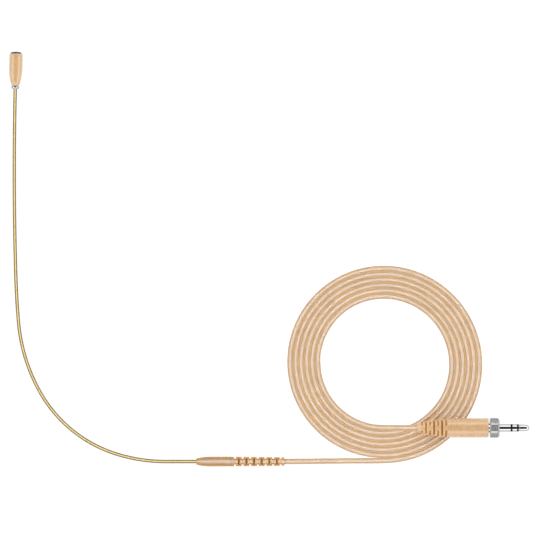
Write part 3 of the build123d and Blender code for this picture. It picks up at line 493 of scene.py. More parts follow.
def boom_place(distance):
    """The boom's centre line at a distance past its first bend: the point, and the heading."""
    x, y, heading = max(-distance, 0.0), 0.0, 180.0
    for length, turn in BOOM_ARCS:
        step = min(distance, length)
        if step <= 0:
            break
        radius = length / radians(turn)
        after = heading - turn * step / length
        x += radius * (sin(radians(heading)) - sin(radians(after)))
        y += radius * (cos(radians(after)) - cos(radians(heading)))
        heading = after
        distance -= length
    along = boom_x * cos(radians(heading)) + boom_y * sin(radians(heading))
    return boom_origin + (boom_x * x + boom_y * y) * MM, along


def tube_mesh(name, start, end):
    """A closed round tube along the boom, with the angle and the distance as its UVs."""
    builder = bmesh.new()
    uv_layer = builder.loops.layers.uv.new("along")
    count = ceil((end - start) / RING_SPACING)
    distances = [start + (end - start) * number / count for number in range(count + 1)]
    rings = []
    for distance in distances:
        centre, along = boom_place(distance)
        side = along.cross(boom_normal)
        ring = []
        for number in range(BOOM_SIDES):
            angle = 2 * pi * number / BOOM_SIDES
            spoke = (boom_normal * cos(angle) + side * sin(angle)) * BOOM_RADIUS * MM
            ring.append(builder.verts.new(centre + spoke))
        rings.append(ring)
    for row, (ring, following) in enumerate(zip(rings, rings[1:])):
        for number in range(BOOM_SIDES):
            beside = (number + 1) % BOOM_SIDES
            corners = (ring[number], following[number], following[beside], ring[beside])
            places = [(row, number), (row + 1, number), (row + 1, number + 1), (row, number + 1)]
            for loop, (r, n) in zip(builder.faces.new(corners).loops, places):
                loop[uv_layer].uv = (n / BOOM_SIDES, distances[r] / LENGTH_OF_UV)
    builder.faces.new(rings[0])
    builder.faces.new(rings[-1])
    return mesh_from(builder, name)


def make_boom():
    """One piece across each of the four bends, meeting halfway between them."""
    meets = [(a + b) / 2 for a, b in zip(BEND_AT, BEND_AT[1:])]
    starts = [BOOM_START] + meets
    ends = meets + [BOOM_LENGTH]
    for number, joint_name in enumerate(BOOM_BENDS):
        name = f"boom_{number + 1}"
        mesh = tube_mesh(name, starts[number], ends[number])
        nodes = [f"boom_tube_{number + 1}", f"boom_wires_{number + 1}"]
        if number == len(BOOM_BENDS) - 1:
            nodes += [f"boom_tube_{number + 2}", f"boom_wires_{number + 2}"]
        piece = finish_piece(name, mesh, None, "boom_gold", *nodes)
        zone_start = boom_place(BEND_AT[number] - BEND_REACH[number])[0]
        zone_end = boom_place(BEND_AT[number] + BEND_REACH[number])[0]
        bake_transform(piece)


make_boom()


# ---------------------------------------- capsule
# Heights are along the boom's end, from the rear of the collar.
capsule_base, capsule_direction = boom_place(BOOM_LENGTH - BOOM_INTO_CAPSULE)
capsule = turning_frame(capsule_base, capsule_direction)
CAPSULE_RADIUS = 3.15
CAPSULE_SIDES = 96
BOOM_HOLE = 0.83
COLLAR_LENGTH = 1.35
COLLAR_REAR_RADIUS = 1.38
COLLAR_FRONT_RADIUS = 1.84
COLLAR_EDGE = (1.9, COLLAR_LENGTH - 0.06)
COLLAR_ARC = [(1.45, 0.06), (1.79, 0.55), (1.92, COLLAR_LENGTH - 0.2)]
COLLAR_STEM_RADIUS = 1.25
COLLAR_STEM_END = 4.0
SEAM_HEIGHT = 8.5
SEAM_RADIUS = 3.08
SEAM_ROUND = 0.04
TAIL_ARC = [(1.4, COLLAR_LENGTH), (2.03, 2.5), (2.5, 4.0)]
BODY_ARC = [TAIL_ARC[-1], (2.87, 6.0), (SEAM_RADIUS, SEAM_HEIGHT)]
TAIL_BORE = 1.28
TAIL_BORE_END = 4.1
SPIGOT_RADIUS = 2.6
SPIGOT_BORE = 2.15
SPIGOT_BORE_REAR = 6.2
SPIGOT_END = 9.8
FULL_WIDTH_HEIGHT = 10.0
SHELL_BORE = 2.65
RIM_HEIGHT = 16.7
RIM_ROUND = 0.55
LIP_HEIGHT = 16.15
LIP_BORE = 2.52
LIP_ROUND = 0.08

turned("capsule_collar_ring", capsule, (
    [(BOOM_HOLE, 0), (COLLAR_REAR_RADIUS, 0), COLLAR_ARC[0]]
    + arc_outline(*COLLAR_ARC)
    + [
        COLLAR_ARC[-1],
        COLLAR_EDGE,
        (COLLAR_FRONT_RADIUS, COLLAR_LENGTH),
        (COLLAR_STEM_RADIUS, COLLAR_LENGTH),
        (COLLAR_STEM_RADIUS, COLLAR_STEM_END),
        (BOOM_HOLE, COLLAR_STEM_END),
    ]
), "capsule", "chrome", "capsule_collar", finish="bright_chrome")

# The last corner is the outline's first one. Here it only gives the seam's rounding a neighbour.
from_seam = rounded([
    (SEAM_RADIUS, SEAM_HEIGHT, SEAM_ROUND),
    (SPIGOT_RADIUS, SEAM_HEIGHT),
    (SPIGOT_RADIUS, SPIGOT_END),
    (SPIGOT_BORE, SPIGOT_END),
    (SPIGOT_BORE, SPIGOT_BORE_REAR),
    (TAIL_BORE, TAIL_BORE_END),
    (TAIL_BORE, COLLAR_LENGTH),
])[:-1]
turned("capsule_rear_cover", capsule, (
    [(TAIL_BORE, COLLAR_LENGTH), TAIL_ARC[0]]
    + arc_outline(*TAIL_ARC)
    + [TAIL_ARC[-1]]
    + arc_outline(*BODY_ARC)
    + from_seam
), "capsule", "capsule_plastic", "capsule_tail", sides=CAPSULE_SIDES)

turned("capsule_front_cover", capsule, rounded([
    (SHELL_BORE, SEAM_HEIGHT),
    (SEAM_RADIUS, SEAM_HEIGHT, SEAM_ROUND),
    (CAPSULE_RADIUS, FULL_WIDTH_HEIGHT),
    (CAPSULE_RADIUS, RIM_HEIGHT, RIM_ROUND),
    (LIP_BORE, RIM_HEIGHT, LIP_ROUND),
    (LIP_BORE, LIP_HEIGHT),
    (SHELL_BORE, LIP_HEIGHT),
], steps=6), "capsule", "capsule_plastic", "capsule_shell", sides=CAPSULE_SIDES)


# ---------------------------------------- grille
GRILLE_RADIUS = 2.42
GRILLE_TOP = 17.6
GRILLE_CROWN = 0.4      # how far the dome rises above the skirt
GRILLE_WIRE = 0.055     # the radius of the mesh's wire
GRILLE_PITCH = 0.27
STEPS_PER_PITCH = 4
WIRE_SIDES = 6
HOOP_WIRE = 0.08        # the radius of the skirt's wire
HOOP_SPACING = 1.8 * HOOP_WIRE
HOOP_POINTS = 72
HOOP_SIDES = 8


def steps_between(low, high, spacing):
    """Heights from low to high, about this far apart."""
    count = max(1, round((high - low) / spacing))
    return [low + (high - low) * number / count for number in range(count + 1)]


def add_tube(builder, centres, radius, sides, closed=False):
    """Adds a thin round wire along points that are close together."""
    rings = []
    count = len(centres)
    for number, centre in enumerate(centres):
        if closed:
            along = centres[(number + 1) % count] - centres[number - 1]
        else:
            along = centres[min(number + 1, count - 1)] - centres[max(number - 1, 0)]
        along.normalize()
        side = along.cross(capsule.col[2].xyz).normalized()
        other = along.cross(side)
        ring = []
        for step in range(sides):
            angle = 2 * pi * step / sides
            spoke = (side * cos(angle) + other * sin(angle)) * radius
            ring.append(builder.verts.new(centre + spoke))
        rings.append(ring)
    for ring, following in zip(rings, rings[1:] + rings[:1] if closed else rings[1:]):
        for step in range(sides):
            beside = (step + 1) % sides
            builder.faces.new((ring[step], following[step], following[beside], ring[beside]))
    if not closed:
        builder.faces.new(rings[0])
        builder.faces.new(rings[-1])


def make_grille():
    """A dome of two sets of wires that pass over and under each other, on a skirt of hoops."""
    builder = bmesh.new()
    outer_radius = (GRILLE_RADIUS ** 2 + GRILLE_CROWN ** 2) / (2 * GRILLE_CROWN)
    dome_radius = outer_radius - 1.5 * GRILLE_WIRE
    dome_centre = GRILLE_TOP - dome_radius - 2 * GRILLE_WIRE
    step = GRILLE_PITCH / STEPS_PER_PITCH
    rows = int(GRILLE_RADIUS / GRILLE_PITCH)
    for crosswise in (False, True):
        for row in range(-rows, rows + 1):
            across = row * GRILLE_PITCH
            reach = int(sqrt(GRILLE_RADIUS ** 2 - across ** 2) / step)
            centres = []
            for number in range(-reach, reach + 1):
                along = number * step
                wave = cos(pi * number / STEPS_PER_PITCH) * (1 if (row + crosswise) % 2 else -1)
                height = dome_centre + sqrt(dome_radius ** 2 - along ** 2 - across ** 2)
                height += wave * GRILLE_WIRE
                x, y = (across, along) if crosswise else (along, across)
                centres.append(capsule @ (Vector((x, y, height)) * MM))
            if len(centres) > 2:
                add_tube(builder, centres, GRILLE_WIRE * MM, WIRE_SIDES)
    for height in steps_between(LIP_HEIGHT + HOOP_WIRE, GRILLE_TOP - GRILLE_CROWN, HOOP_SPACING):
        hoop = []
        for number in range(HOOP_POINTS):
            angle = 2 * pi * number / HOOP_POINTS
            spoke = Vector((cos(angle) * GRILLE_RADIUS, sin(angle) * GRILLE_RADIUS, height))
            hoop.append(capsule @ (spoke * MM))
        add_tube(builder, hoop, HOOP_WIRE * MM, HOOP_SIDES, closed=True)
    mesh = mesh_from(builder, "grille_wire_mesh")
    finish_piece("grille_wire_mesh", mesh, "capsule", "grille_mesh", "front_grille")


make_grille()


# ---------------------------------------- slotted boots
SLOT_WIDTH = 0.9
SLOT_CLEARANCE = 0.05   # no round row comes nearer than this to a slot's edge
WALL_STEP = 0.002       # the two rows of a slot's upright wall are this far apart
SLOT_MARGIN = 0.01      # marked as part of a slot, beyond its edge
MARK_RISE = 3.0         # groove marks reach 1 at a depth of 1 / MARK_RISE millimetres


def slotted_rows(radius_at, heights, slots, edge, steps=4):
    """Rows of a boot: round ones at the given heights, and slots with edges rounded by edge.

    Each slot is (height, core, bridge, across). It goes down to a round core of this radius, and
    leaves two bridges of this half-width. across is cos for slots in the top and the bottom, and
    sin for slots in the sides.
    """
    def cut(height, core, bridge, across, depth):
        def radius(angle):
            full = radius_at(height)
            flat = max(core, bridge / max(abs(across(angle)), 1e-6))
            return max(full - depth, min(full, flat))
        return radius

    rows = [(height, radius_at(height)) for height in heights]
    for height, core, bridge, across in slots:
        cleared = SLOT_WIDTH / 2 + edge + SLOT_CLEARANCE
        rows = [row for row in rows if abs(row[0] - height) > cleared]
        for sign in (-1, 1):
            wall = height + sign * SLOT_WIDTH / 2
            for step in range(steps + 1):
                angle = radians(90) * step / steps
                level = wall + sign * edge * (1 - sin(angle))
                rows.append((level, cut(level, core, bridge, across, edge * (1 - cos(angle)))))
            inner = wall - sign * WALL_STEP
            rows.append((inner, cut(wall, core, bridge, across, radius_at(wall))))
    return sorted(rows, key=lambda row: row[0])


def slot_depth(radius_at, slots):
    """How deep in a slot a point is, as a function that goes from 0 at its edge to 1 inside it."""
    reach = SLOT_WIDTH / 2 + SLOT_MARGIN

    def depth(height, radius):
        if all(abs(height - slot[0]) > reach for slot in slots):
            return 0.0
        return max(0.0, min(1.0, MARK_RISE * (radius_at(height) - radius)))
    return depth


def rounded_end(radius_at, end, rounding, inwards, steps=4):
    """Rows that round off a boot's end, from the rim to the side."""
    rows = []
    for step in range(steps):
        angle = radians(90) * step / steps
        height = end + inwards * rounding * (1 - cos(angle))
        rows.append((height, radius_at(end + inwards * rounding) - rounding * (1 - sin(angle))))
    return rows


# Heights in the junction are along X, from its nose.
junction_low, junction_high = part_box("junction_boot")
junction_axis = (junction_low + junction_high) / 2
junction = turning_frame(Vector((junction_low.x, junction_axis.y, junction_axis.z)), ALONG_X)
JUNCTION_LENGTH = 41.4
JUNCTION_RADIUS = 2.28
JUNCTION_END_RADIUS = 2.05
JUNCTION_SIDES = 128
NOSE_LENGTH = 6.5
NOSE_ARC = [(1.4, 0), (1.858, 2.0), (JUNCTION_RADIUS, NOSE_LENGTH)]
NOSE_ROUND = 0.3
NOSE_ROW_SPACING = 0.4
END_ROUND = 0.2
SMOOTH_LENGTH = 17.8
SIDE_START = 7.0        # the first row of the straight part
SIDE_ROW_SPACING = 0.5
SIDE_SLOT_COUNT = 7
SLOT_PITCH = 3.58
FIRST_SLOT = 18.25
SLOT_CORE = 1.38
SLOT_ROUND = 0.2
SIDE_SLOT_BRIDGE = 0.85
TOP_SLOT_BRIDGE = 1.0
CABLE_HOLE = 1.32
CABLE_SOCKET = (1.0, JUNCTION_LENGTH - 4)   # the bore narrows to here from the cable's end
BOOM_SOCKET_END = 6.0
nose_at = swell(*NOSE_ARC)


def junction_radius(height):
    """The junction's full radius: a rounded nose, a straight sleeve, and a slight taper."""
    if height < NOSE_LENGTH:
        return nose_at(height)
    taper = max(0.0, height - SMOOTH_LENGTH) / (JUNCTION_LENGTH - SMOOTH_LENGTH)
    return JUNCTION_RADIUS + (JUNCTION_END_RADIUS - JUNCTION_RADIUS) * taper


def make_junction_boot():
    """Ribs cut by slots from the sides, and between them by slots from the top and the bottom."""
    slots = []
    for number in range(SIDE_SLOT_COUNT):
        slots.append((FIRST_SLOT + SLOT_PITCH * number, SLOT_CORE, SIDE_SLOT_BRIDGE, sin))
    for number in range(SIDE_SLOT_COUNT - 1):
        slots.append((FIRST_SLOT + SLOT_PITCH * (number + 0.5), SLOT_CORE, TOP_SLOT_BRIDGE, cos))
    heights = steps_between(NOSE_ROUND, NOSE_LENGTH, NOSE_ROW_SPACING)
    heights += steps_between(SIDE_START, JUNCTION_LENGTH - END_ROUND, SIDE_ROW_SPACING)
    socket_radius, socket_end = CABLE_SOCKET
    rows = [
        (0, BOOM_HOLE),
        *rounded_end(junction_radius, 0, NOSE_ROUND, 1),
        *slotted_rows(junction_radius, heights, slots, SLOT_ROUND),
        *reversed(rounded_end(junction_radius, JUNCTION_LENGTH, END_ROUND, -1)),
        (JUNCTION_LENGTH, CABLE_HOLE),
        (socket_end, socket_radius),
        (BOOM_SOCKET_END, BOOM_HOLE),
    ]
    # The slot depths set where the boot's painted slot shade goes.
    depth_at = slot_depth(junction_radius, slots)
    mesh = turned_mesh("junction_cover", junction, rows, JUNCTION_SIDES, depth_at)
    finish_piece("junction_cover", mesh, "cable_and_plug", "boot_rubber", "junction_boot")


make_junction_boot()


# ---------------------------------------- connector
# Heights are along the plug's axis, from the rear of the boot.
connector_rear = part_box("connector_boot")[0]
plug_axis = Vector(mounts["plug"]["pos_m"])
connector = turning_frame(Vector((connector_rear.x, plug_axis.y, plug_axis.z)), ALONG_X)
CONNECTOR_SIDES = 96
SHELL_RADIUS = 4.5
BOOT_SIDES = 144
BOOT_LENGTH = 14.1
BOOT_SHOULDER = 7.9
BOOT_SHOULDER_RADIUS = 3.75
BOOT_END_RADIUS = 4.42
BOOT_NOSE_ARC = [(1.6, 0), (2.9, 3.1), (BOOT_SHOULDER_RADIUS, BOOT_SHOULDER)]
BOOT_NOSE_ROUND = 0.2
BOOT_ROW_SPACING = 0.4
BOOT_SLOT_PITCH = 3.76
BOOT_TOP_CORES = [2.1, 2.1, 2.1]
BOOT_FIRST_TOP_SLOT = 4.1
BOOT_SIDE_CORES = [1.7, 2.6, 3.0, 3.3]
BOOT_FIRST_SIDE_SLOT = 2.22
BOOT_SLOT_ROUND = 0.3
BOOT_BRIDGE = 1.2
BOOT_SPIGOT = 3.5
REAR_WALL = 1.2
CRIMP_START = 11.5
CRIMP_BORE = 1.83
boot_nose_at = swell(*BOOT_NOSE_ARC)


def connector_piece(name, outline, slot, *nodes):
    """A turned piece of the connector, which goes with the cable."""
    turned(
        name, connector, outline, "cable_and_plug", slot, *nodes, sides=CONNECTOR_SIDES,
    )


def boot_radius(height):
    """The boot's full radius: a swelling nose, and a cone from its shoulder to the shell."""
    if height < BOOT_SHOULDER:
        return boot_nose_at(height)
    widening = BOOT_END_RADIUS - BOOT_SHOULDER_RADIUS
    length = BOOT_LENGTH - BOOT_SHOULDER
    return BOOT_SHOULDER_RADIUS + widening * (height - BOOT_SHOULDER) / length


def make_connector_boot():
    """A boot whose slots alternate like the junction's."""
    slots = []
    for number, core in enumerate(BOOT_TOP_CORES):
        slots.append((BOOT_FIRST_TOP_SLOT + BOOT_SLOT_PITCH * number, core, BOOT_BRIDGE, cos))
    for number, core in enumerate(BOOT_SIDE_CORES):
        slots.append((BOOT_FIRST_SIDE_SLOT + BOOT_SLOT_PITCH * number, core, BOOT_BRIDGE, sin))
    heights = steps_between(BOOT_NOSE_ROUND, BOOT_LENGTH - 0.02, BOOT_ROW_SPACING)
    rows = [
        (0, CABLE_HOLE),
        *rounded_end(boot_radius, 0, BOOT_NOSE_ROUND, 1),
        *slotted_rows(boot_radius, heights, slots, BOOT_SLOT_ROUND),
        (BOOT_LENGTH, boot_radius(BOOT_LENGTH) - 0.03),
        (BOOT_LENGTH, BOOT_SPIGOT),
        (BOOT_LENGTH + REAR_WALL, BOOT_SPIGOT),
        (BOOT_LENGTH + REAR_WALL, CRIMP_BORE),
        (CRIMP_START, CRIMP_BORE),
        (CRIMP_START, CABLE_HOLE),
    ]
    # The slot depths set where the boot's painted slot shade goes.
    depth_at = slot_depth(boot_radius, slots)
    mesh = turned_mesh("connector_strain_relief", connector, rows, BOOT_SIDES, depth_at)
    finish_piece(
        "connector_strain_relief", mesh, "cable_and_plug", "boot_rubber", "connector_boot",
        finish="glossy_rubber",
    )


SHELL_SEAM = 24.9
SHELL_FRONT = 33.4
SHELL_REAR_ROUND = 0.2
SHELL_SEAM_ROUND = 0.07
SHELL_FRONT_ROUND = 0.25
FRONT_WALL = 1.2
SHELL_BORE_RADIUS = 3.75
INNER_RADIUS = 3.2
SOCKET_LENGTH = 2.4
ROOM = 0.04             # between two pieces of the connector that slide together
CHASSIS_REAR = 28.0
CHASSIS_RADIUS = INNER_RADIUS - 0.05
NECK_RADIUS = 2.35
NECK_END = 35.1
NECK_SIDES = 192
WINDOW_COUNT = 8
WINDOW_HALF_ANGLE = radians(9.0)
# The windows reach into a dark core, painted shade that makes them look deep.
WINDOW_FLOOR = 1.8      # a radius inside the dark core, so that the core shows
WINDOW_START = SHELL_FRONT + 0.12
WINDOW_END = SHELL_FRONT + 0.68
CORE_BORE = 1.5
CORE_RADIUS = 2.05
STEM_RADIUS = 1.25


def make_shells():
    """The two halves of the housing, which meet at a seam."""
    connector_piece("connector_rear_cover", rounded([
        (BOOT_SPIGOT, BOOT_LENGTH),
        (SHELL_RADIUS, BOOT_LENGTH, SHELL_REAR_ROUND),
        (SHELL_RADIUS, SHELL_SEAM, SHELL_SEAM_ROUND),
        (SHELL_BORE_RADIUS, SHELL_SEAM),
        (SHELL_BORE_RADIUS, BOOT_LENGTH + REAR_WALL),
        (BOOT_SPIGOT, BOOT_LENGTH + REAR_WALL),
    ]), "connector_shell", "rear_shell")
    connector_piece("connector_front_cover", rounded([
        (INNER_RADIUS, SHELL_SEAM - SOCKET_LENGTH),
        (SHELL_BORE_RADIUS - ROOM, SHELL_SEAM - SOCKET_LENGTH),
        (SHELL_BORE_RADIUS - ROOM, SHELL_SEAM),
        (SHELL_RADIUS, SHELL_SEAM, SHELL_SEAM_ROUND),
        (SHELL_RADIUS, SHELL_FRONT, SHELL_FRONT_ROUND),
        (NECK_RADIUS + ROOM, SHELL_FRONT),
        (NECK_RADIUS + ROOM, SHELL_FRONT - FRONT_WALL),
        (INNER_RADIUS, SHELL_FRONT - FRONT_WALL),
    ]), "connector_shell", "front_shell")


def make_neck():
    """The chassis has eight windows round its neck, through which a dark core shows as painted
    shade.
    """
    def windowed(angle):
        spacing = 2 * pi / WINDOW_COUNT
        off_centre = abs((angle + spacing / 2) % spacing - spacing / 2)
        return WINDOW_FLOOR if off_centre < WINDOW_HALF_ANGLE else NECK_RADIUS

    rows = [
        (CHASSIS_REAR, STEM_RADIUS + ROOM),
        (CHASSIS_REAR, CHASSIS_RADIUS),
        (SHELL_FRONT - FRONT_WALL, CHASSIS_RADIUS),
        (SHELL_FRONT - FRONT_WALL, NECK_RADIUS),
        (WINDOW_START, NECK_RADIUS),
        (WINDOW_START + 0.001, windowed),
        (WINDOW_END, windowed),
        (WINDOW_END + 0.001, NECK_RADIUS),
        (NECK_END, NECK_RADIUS),
        (NECK_END, STEM_RADIUS + ROOM),
    ]
    mesh = turned_mesh("connector_neck", connector, rows, NECK_SIDES)
    finish_piece(
        "connector_neck", mesh, "cable_and_plug", "chrome", "plug_chassis", finish="satin_chrome",
    )
    # The black core is a dark piece put inside the windows as painted shade, as deep holes would
    # look.
    core_rear = SHELL_FRONT - 0.2
    core_front = NECK_END - 0.3
    connector_piece("neck_insulator", [
        (CORE_BORE, core_rear),
        (CORE_RADIUS, core_rear),
        (CORE_RADIUS, core_front),
        (CORE_BORE, core_front),
    ], "insulator")


# ---------------------------------------- locking nut
NUT_RADIUS = 4.65
NUT_REAR = 34.1
NUT_FRONT = 38.6
NUT_BORE = 3.0
NUT_FLANGE_FRONT = 35.0
NUT_FLANGE_BORE = 2.42
KNURL_COUNT = 40
KNURL_DEPTH = 0.16
KNURL_START = NUT_REAR + 0.45
KNURL_END = NUT_FRONT - 0.85
KNURL_ROWS = 5
STEPS_PER_KNURL = 8
LAND_COUNT = 8
LAND_HALF_ANGLE = radians(5.0)
LAND_INSET = 0.01
KNURL_STEEPNESS = 1.5   # the flat top of a ridge is wider the more this is over 1
THREAD_START = NUT_FRONT - 0.25
THREAD_PITCH = 0.5
THREAD_DEPTH = 0.22
NUT_MOUTH_RADIUS = NUT_BORE + 0.25
# The outline behind the knurl and in front of it: (height, how far inside the nut's radius).
REAR_EDGE = [(NUT_REAR, 0.3), (NUT_REAR + 0.08, 0.16), (KNURL_START - 0.12, 0.02),
             (KNURL_START - 0.08, 0.1)]
FRONT_EDGE = [(KNURL_END + 0.08, KNURL_DEPTH), (KNURL_END + 0.12, 0.1), (NUT_FRONT - 0.25, 0.45),
              (NUT_FRONT - 0.05, 0.68), (NUT_FRONT, 0.8)]


def on_land(angle):
    """Whether the angle is on one of the smooth strips between the knurled ones."""
    spacing = 2 * pi / LAND_COUNT
    return abs(angle % spacing - spacing / 2) < LAND_HALF_ANGLE


def knurled(height):
    """The radius at each angle of a diamond knurl at this height."""
    def ridge(turns):
        return 1 - abs(2 * (turns % 1.0) - 1)

    def radius(angle):
        if on_land(angle):
            return NUT_RADIUS - LAND_INSET
        across = angle * KNURL_COUNT / (2 * pi)
        along = (height - KNURL_START) / (KNURL_END - KNURL_START) * KNURL_ROWS
        nearest = min(ridge(across + along), ridge(across - along))
        return NUT_RADIUS - KNURL_DEPTH * (1 - min(1.0, KNURL_STEEPNESS * nearest))
    return radius


def knurl_depth(height, radius):
    """How deep in the knurl a point is: the top of a ridge counts 0, and the bottom 1."""
    if not KNURL_START - 0.1 < height < KNURL_END + 0.1:
        return 0.0
    if radius < NUT_RADIUS - 2 * KNURL_DEPTH:
        return 0.0
    return min(1.0, (NUT_RADIUS - radius) / KNURL_DEPTH)


def make_nut():
    """A chrome nut with a diamond knurl outside and rings that stand for a thread inside."""
    rows = [(NUT_REAR, NUT_FLANGE_BORE)]
    rows += [(height, NUT_RADIUS - inset) for height, inset in REAR_EDGE]
    count = KNURL_ROWS * STEPS_PER_KNURL
    for number in range(count + 1):
        height = KNURL_START + (KNURL_END - KNURL_START) * number / count
        rows.append((height, knurled(height)))
    rows += [(height, NUT_RADIUS - inset) for height, inset in FRONT_EDGE]
    rows.append((NUT_FRONT, NUT_MOUTH_RADIUS))
    thread_height = THREAD_START
    while thread_height > NUT_FLANGE_FRONT + THREAD_PITCH:
        rows.append((thread_height, NUT_BORE))
        rows.append((thread_height - THREAD_PITCH / 2, NUT_BORE + THREAD_DEPTH))
        thread_height -= THREAD_PITCH
    rows += [(NUT_FLANGE_FRONT, NUT_BORE + 0.1), (NUT_FLANGE_FRONT, NUT_FLANGE_BORE)]
    # knurl_depth sets where the knurl's recesses get painted shade.
    mesh = turned_mesh("knurled_nut", connector, rows, KNURL_COUNT * STEPS_PER_KNURL, knurl_depth)
    finish_piece("knurled_nut", mesh, "nut", "chrome", "locking_nut")


# ---------------------------------------- plug
PLUG_RADIUS = 1.75
SLEEVE_END = 43.8
RING_START = 44.7
RING_END = 46.8
TIP_START = 47.6
TIP_END = 52.6
BAND_ROUND = 0.04       # at the edges of the metal bands
INSULATOR_ROUND = 0.03
# Inside the connector the plug's pieces are tubes in one another, round the tip's pin.
SLEEVE_REAR = 29.0
SLEEVE_BORE = 1.05
REAR_INSULATOR_TUBE = (28.2, 0.85, 1.02)    # rear, bore and radius
RING_TUBE = (27.4, 0.6, 0.82)
FRONT_INSULATOR_TUBE = (26.6, 0.4, 0.57)
TIP_REAR = 25.8
TIP_PIN_RADIUS = 0.37
# The sleeve has a collar in the nut.
PLUG_COLLAR_RADIUS = 2.75
PLUG_COLLAR_FRONT = 35.9
# The tip's base, its groove and the start of its head: (radius, height past the insulator).
TIP_GROOVE = [(1.6, 0.2), (1.3, 0.4), (1.3, 0.5), (1.58, 0.7)]
# The head narrows to this radius, and ends in a ball.
NOSE_EDGE = 1.48
NOSE_HEIGHT = 1.3
NOSE_STEPS = 8


def band(rear, bore, radius, start, end, rounding):
    """The outline of a tube that widens to one of the plug's bands between two heights."""
    return rounded([
        (bore, rear),
        (radius, rear),
        (radius, start),
        (PLUG_RADIUS, start, rounding),
        (PLUG_RADIUS, end, rounding),
        (bore, end),
    ])


def make_plug():
    """Sleeve, ring and tip with black insulators between them."""
    connector_piece("plug_sleeve_contact", rounded([
        (SLEEVE_BORE, SLEEVE_REAR),
        (STEM_RADIUS, SLEEVE_REAR),
        (STEM_RADIUS, NECK_END),
        (PLUG_COLLAR_RADIUS, NECK_END, 0.1),
        (PLUG_COLLAR_RADIUS, PLUG_COLLAR_FRONT, 0.15),
        (PLUG_RADIUS, PLUG_COLLAR_FRONT),
        (PLUG_RADIUS, SLEEVE_END, BAND_ROUND),
        (SLEEVE_BORE, SLEEVE_END),
    ]), "plug_metal", "plug_sleeve")
    connector_piece("plug_rear_insulator", band(
        *REAR_INSULATOR_TUBE, SLEEVE_END, RING_START, INSULATOR_ROUND,
    ), "insulator", "rear_insulator")
    connector_piece("plug_ring_contact", band(
        *RING_TUBE, RING_START, RING_END, BAND_ROUND,
    ), "plug_metal", "plug_ring")
    connector_piece("plug_front_insulator", band(
        *FRONT_INSULATOR_TUBE, RING_END, TIP_START, INSULATOR_ROUND,
    ), "insulator", "front_insulator")
    ball = (NOSE_EDGE ** 2 + NOSE_HEIGHT ** 2) / (2 * NOSE_HEIGHT)
    nose = []
    for step in range(1, NOSE_STEPS):
        angle = asin(NOSE_EDGE / ball) * (1 - step / NOSE_STEPS)
        nose.append((ball * sin(angle), TIP_END - ball + ball * cos(angle)))
    head = [(TIP_GROOVE[0][0], TIP_START)]
    head += [(radius, TIP_START + height, BAND_ROUND) for radius, height in TIP_GROOVE]
    head.append((NOSE_EDGE, TIP_END - NOSE_HEIGHT))
    connector_piece("plug_tip_contact", (
        [(0, TIP_REAR), (TIP_PIN_RADIUS, TIP_REAR), (TIP_PIN_RADIUS, TIP_START)]
        + rounded(head)
        + nose
        + [(0, TIP_END)]
    ), "plug_metal", "plug_tip")


make_connector_boot()
make_shells()
make_neck()
make_nut()
make_plug()


# ---------------------------------------- the cable's finish and body
cable.data.materials.append(MATERIALS["cable_jacket"])
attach(cable, "cable_and_plug")
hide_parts("cable_lead", "cable_coil", "cable_tail")


# ---------------------------------------- floor and light
FLOOR_SIZE = 40.0
FLOOR_DROP = 0.0001     # below the object, so that the two don't coincide
FLOOR_GREY = 0.25
FLOOR_GLOW = 0.83


def make_floor():
    """A white table top, grey enough to catch only faint shadows, that doesn't light the object."""
    builder = bmesh.new()
    bmesh.ops.create_grid(builder, x_segments=1, y_segments=1, size=FLOOR_SIZE / 2)
    mesh = bpy.data.meshes.new("floor")
    builder.to_mesh(mesh)
    builder.free()
    floor = bpy.data.objects.new("floor", mesh)
    floor.location = (0, 0, -FLOOR_DROP)
    floor.visible_glossy = False
    floor.visible_diffuse = False
    bpy.context.scene.collection.objects.link(floor)
    material = bpy.data.materials.new("floor_white")
    material.use_nodes = True
    shader = material.node_tree.nodes["Principled BSDF"]
    shader.inputs["Base Color"].default_value = (FLOOR_GREY, FLOOR_GREY, FLOOR_GREY, 1)
    shader.inputs["Roughness"].default_value = 1.0
    shader.inputs["Specular IOR Level"].default_value = 0.0
    shader.inputs["Emission Color"].default_value = (1, 1, 1, 1)
    shader.inputs["Emission Strength"].default_value = FLOOR_GLOW
    mesh.materials.append(material)


SKY_STRENGTH = 2.0
# The sky's brightness by the height of its direction, from -1 straight down to 1 straight up.
SKY = [(-1.0, 0.42), (-0.1, 0.46), (0.05, 0.36), (0.25, 0.42), (0.40, 0.80), (0.60, 0.90),
       (0.64, 1.0), (0.72, 1.0), (0.79, 0.02)]


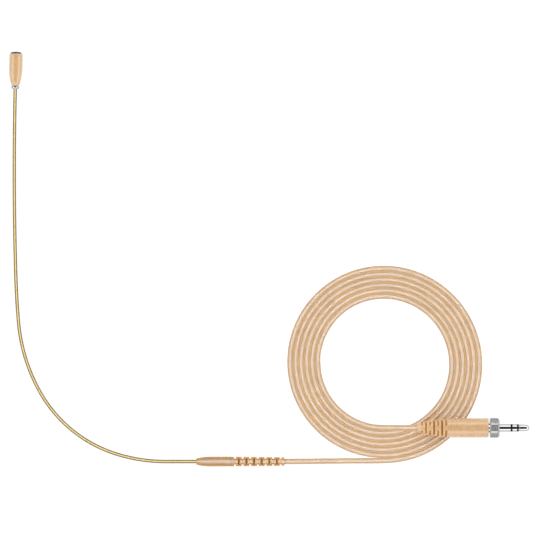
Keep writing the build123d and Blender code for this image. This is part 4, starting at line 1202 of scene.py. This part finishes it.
def make_world():
    """A white ring of light round a dark hole overhead. The camera sees plain white instead."""
    world = bpy.data.worlds.new("studio")
    bpy.context.scene.world = world
    world.use_nodes = True
    tree = world.node_tree
    background = tree.nodes["Background"]
    background.inputs["Strength"].default_value = SKY_STRENGTH
    direction = tree.nodes.new("ShaderNodeTexCoord")
    height = tree.nodes.new("ShaderNodeSeparateXYZ")
    tree.links.new(direction.outputs["Generated"], height.inputs["Vector"])
    span = tree.nodes.new("ShaderNodeMapRange")
    span.inputs["From Min"].default_value = -1.0
    tree.links.new(height.outputs["Z"], span.inputs["Value"])
    ramp = tree.nodes.new("ShaderNodeValToRGB")
    tree.links.new(span.outputs["Result"], ramp.inputs["Fac"])
    stops = ramp.color_ramp.elements
    while len(stops) < len(SKY):
        stops.new(0.5)
    for stop, (z, brightness) in zip(stops, SKY):
        stop.position = (z + 1) / 2
        stop.color = (brightness, brightness, brightness, 1)
    tree.links.new(ramp.outputs["Color"], background.inputs["Color"])
    plain = tree.nodes.new("ShaderNodeBackground")
    plain.inputs["Color"].default_value = (1, 1, 1, 1)
    seen = tree.nodes.new("ShaderNodeLightPath")
    both = tree.nodes.new("ShaderNodeMixShader")
    tree.links.new(seen.outputs["Is Camera Ray"], both.inputs[0])
    tree.links.new(background.outputs["Background"], both.inputs[1])
    tree.links.new(plain.outputs["Background"], both.inputs[2])
    tree.links.new(both.outputs["Shader"], tree.nodes["World Output"].inputs["Surface"])


def soft_light(name, receivers, radiance, angle, glossy=False, below=False, shadows=True):
    """A soft round light overhead or below, for some pieces only.

    It adds either to their gloss or to their matt colour. angle is how wide it looks, in degrees.
    """
    data = bpy.data.lights.new(name, "SUN")
    data.angle = radians(angle)
    data.energy = radiance * pi * sin(radians(angle / 2)) ** 2
    light = bpy.data.objects.new(name, data)
    light.visible_glossy = glossy
    light.visible_diffuse = not glossy
    data.use_shadow = shadows
    if below:
        light.rotation_euler = (pi, 0, 0)
    bpy.context.scene.collection.objects.link(light)
    group = bpy.data.collections.new(name)
    for piece in receivers:
        group.objects.link(piece)
    light.light_linking.receiver_collection = group


make_floor()
make_world()
scene_objects = bpy.data.objects
junction_cover = scene_objects["junction_cover"]
boom_pieces = [scene_objects[f"boom_{number + 1}"] for number in range(len(BOOM_BENDS))]
# Shadows in the narrow gaps between turns and under the shell would make the jacket look dirty.
for piece in (cable, scene_objects["connector_rear_cover"]):
    piece.visible_shadow = False
    piece.visible_diffuse = False
# The junction gets all its light from its own lights and the sky.
others = [piece for piece in scene_objects if piece.type == "MESH" and piece != junction_cover]
soft_light("fill", others, radiance=1.1, angle=50)
# Each of these gives some pieces the highlight along their top.
soft_light("cable_light", [cable], radiance=13.0, angle=95, glossy=True)
soft_light("junction_light", [junction_cover], radiance=13.5, angle=75, glossy=True)
soft_light("boom_light", boom_pieces, radiance=5.0, angle=60, glossy=True)
soft_light("nut_light", [scene_objects["knurled_nut"]], radiance=0.5, angle=50, glossy=True)
soft_light(
    "neck_light", [scene_objects["connector_neck"]], radiance=2.5, angle=140, glossy=True,
    shadows=False,
)
# The table glows like a light box under the soft jacket and the junction.
soft_light("cable_glow", [cable], radiance=0.8, angle=180, below=True, shadows=False)
soft_light("junction_glow", [junction_cover], radiance=0.7, angle=180, below=True, shadows=False)
bpy.context.scene.view_settings.view_transform = "Standard"
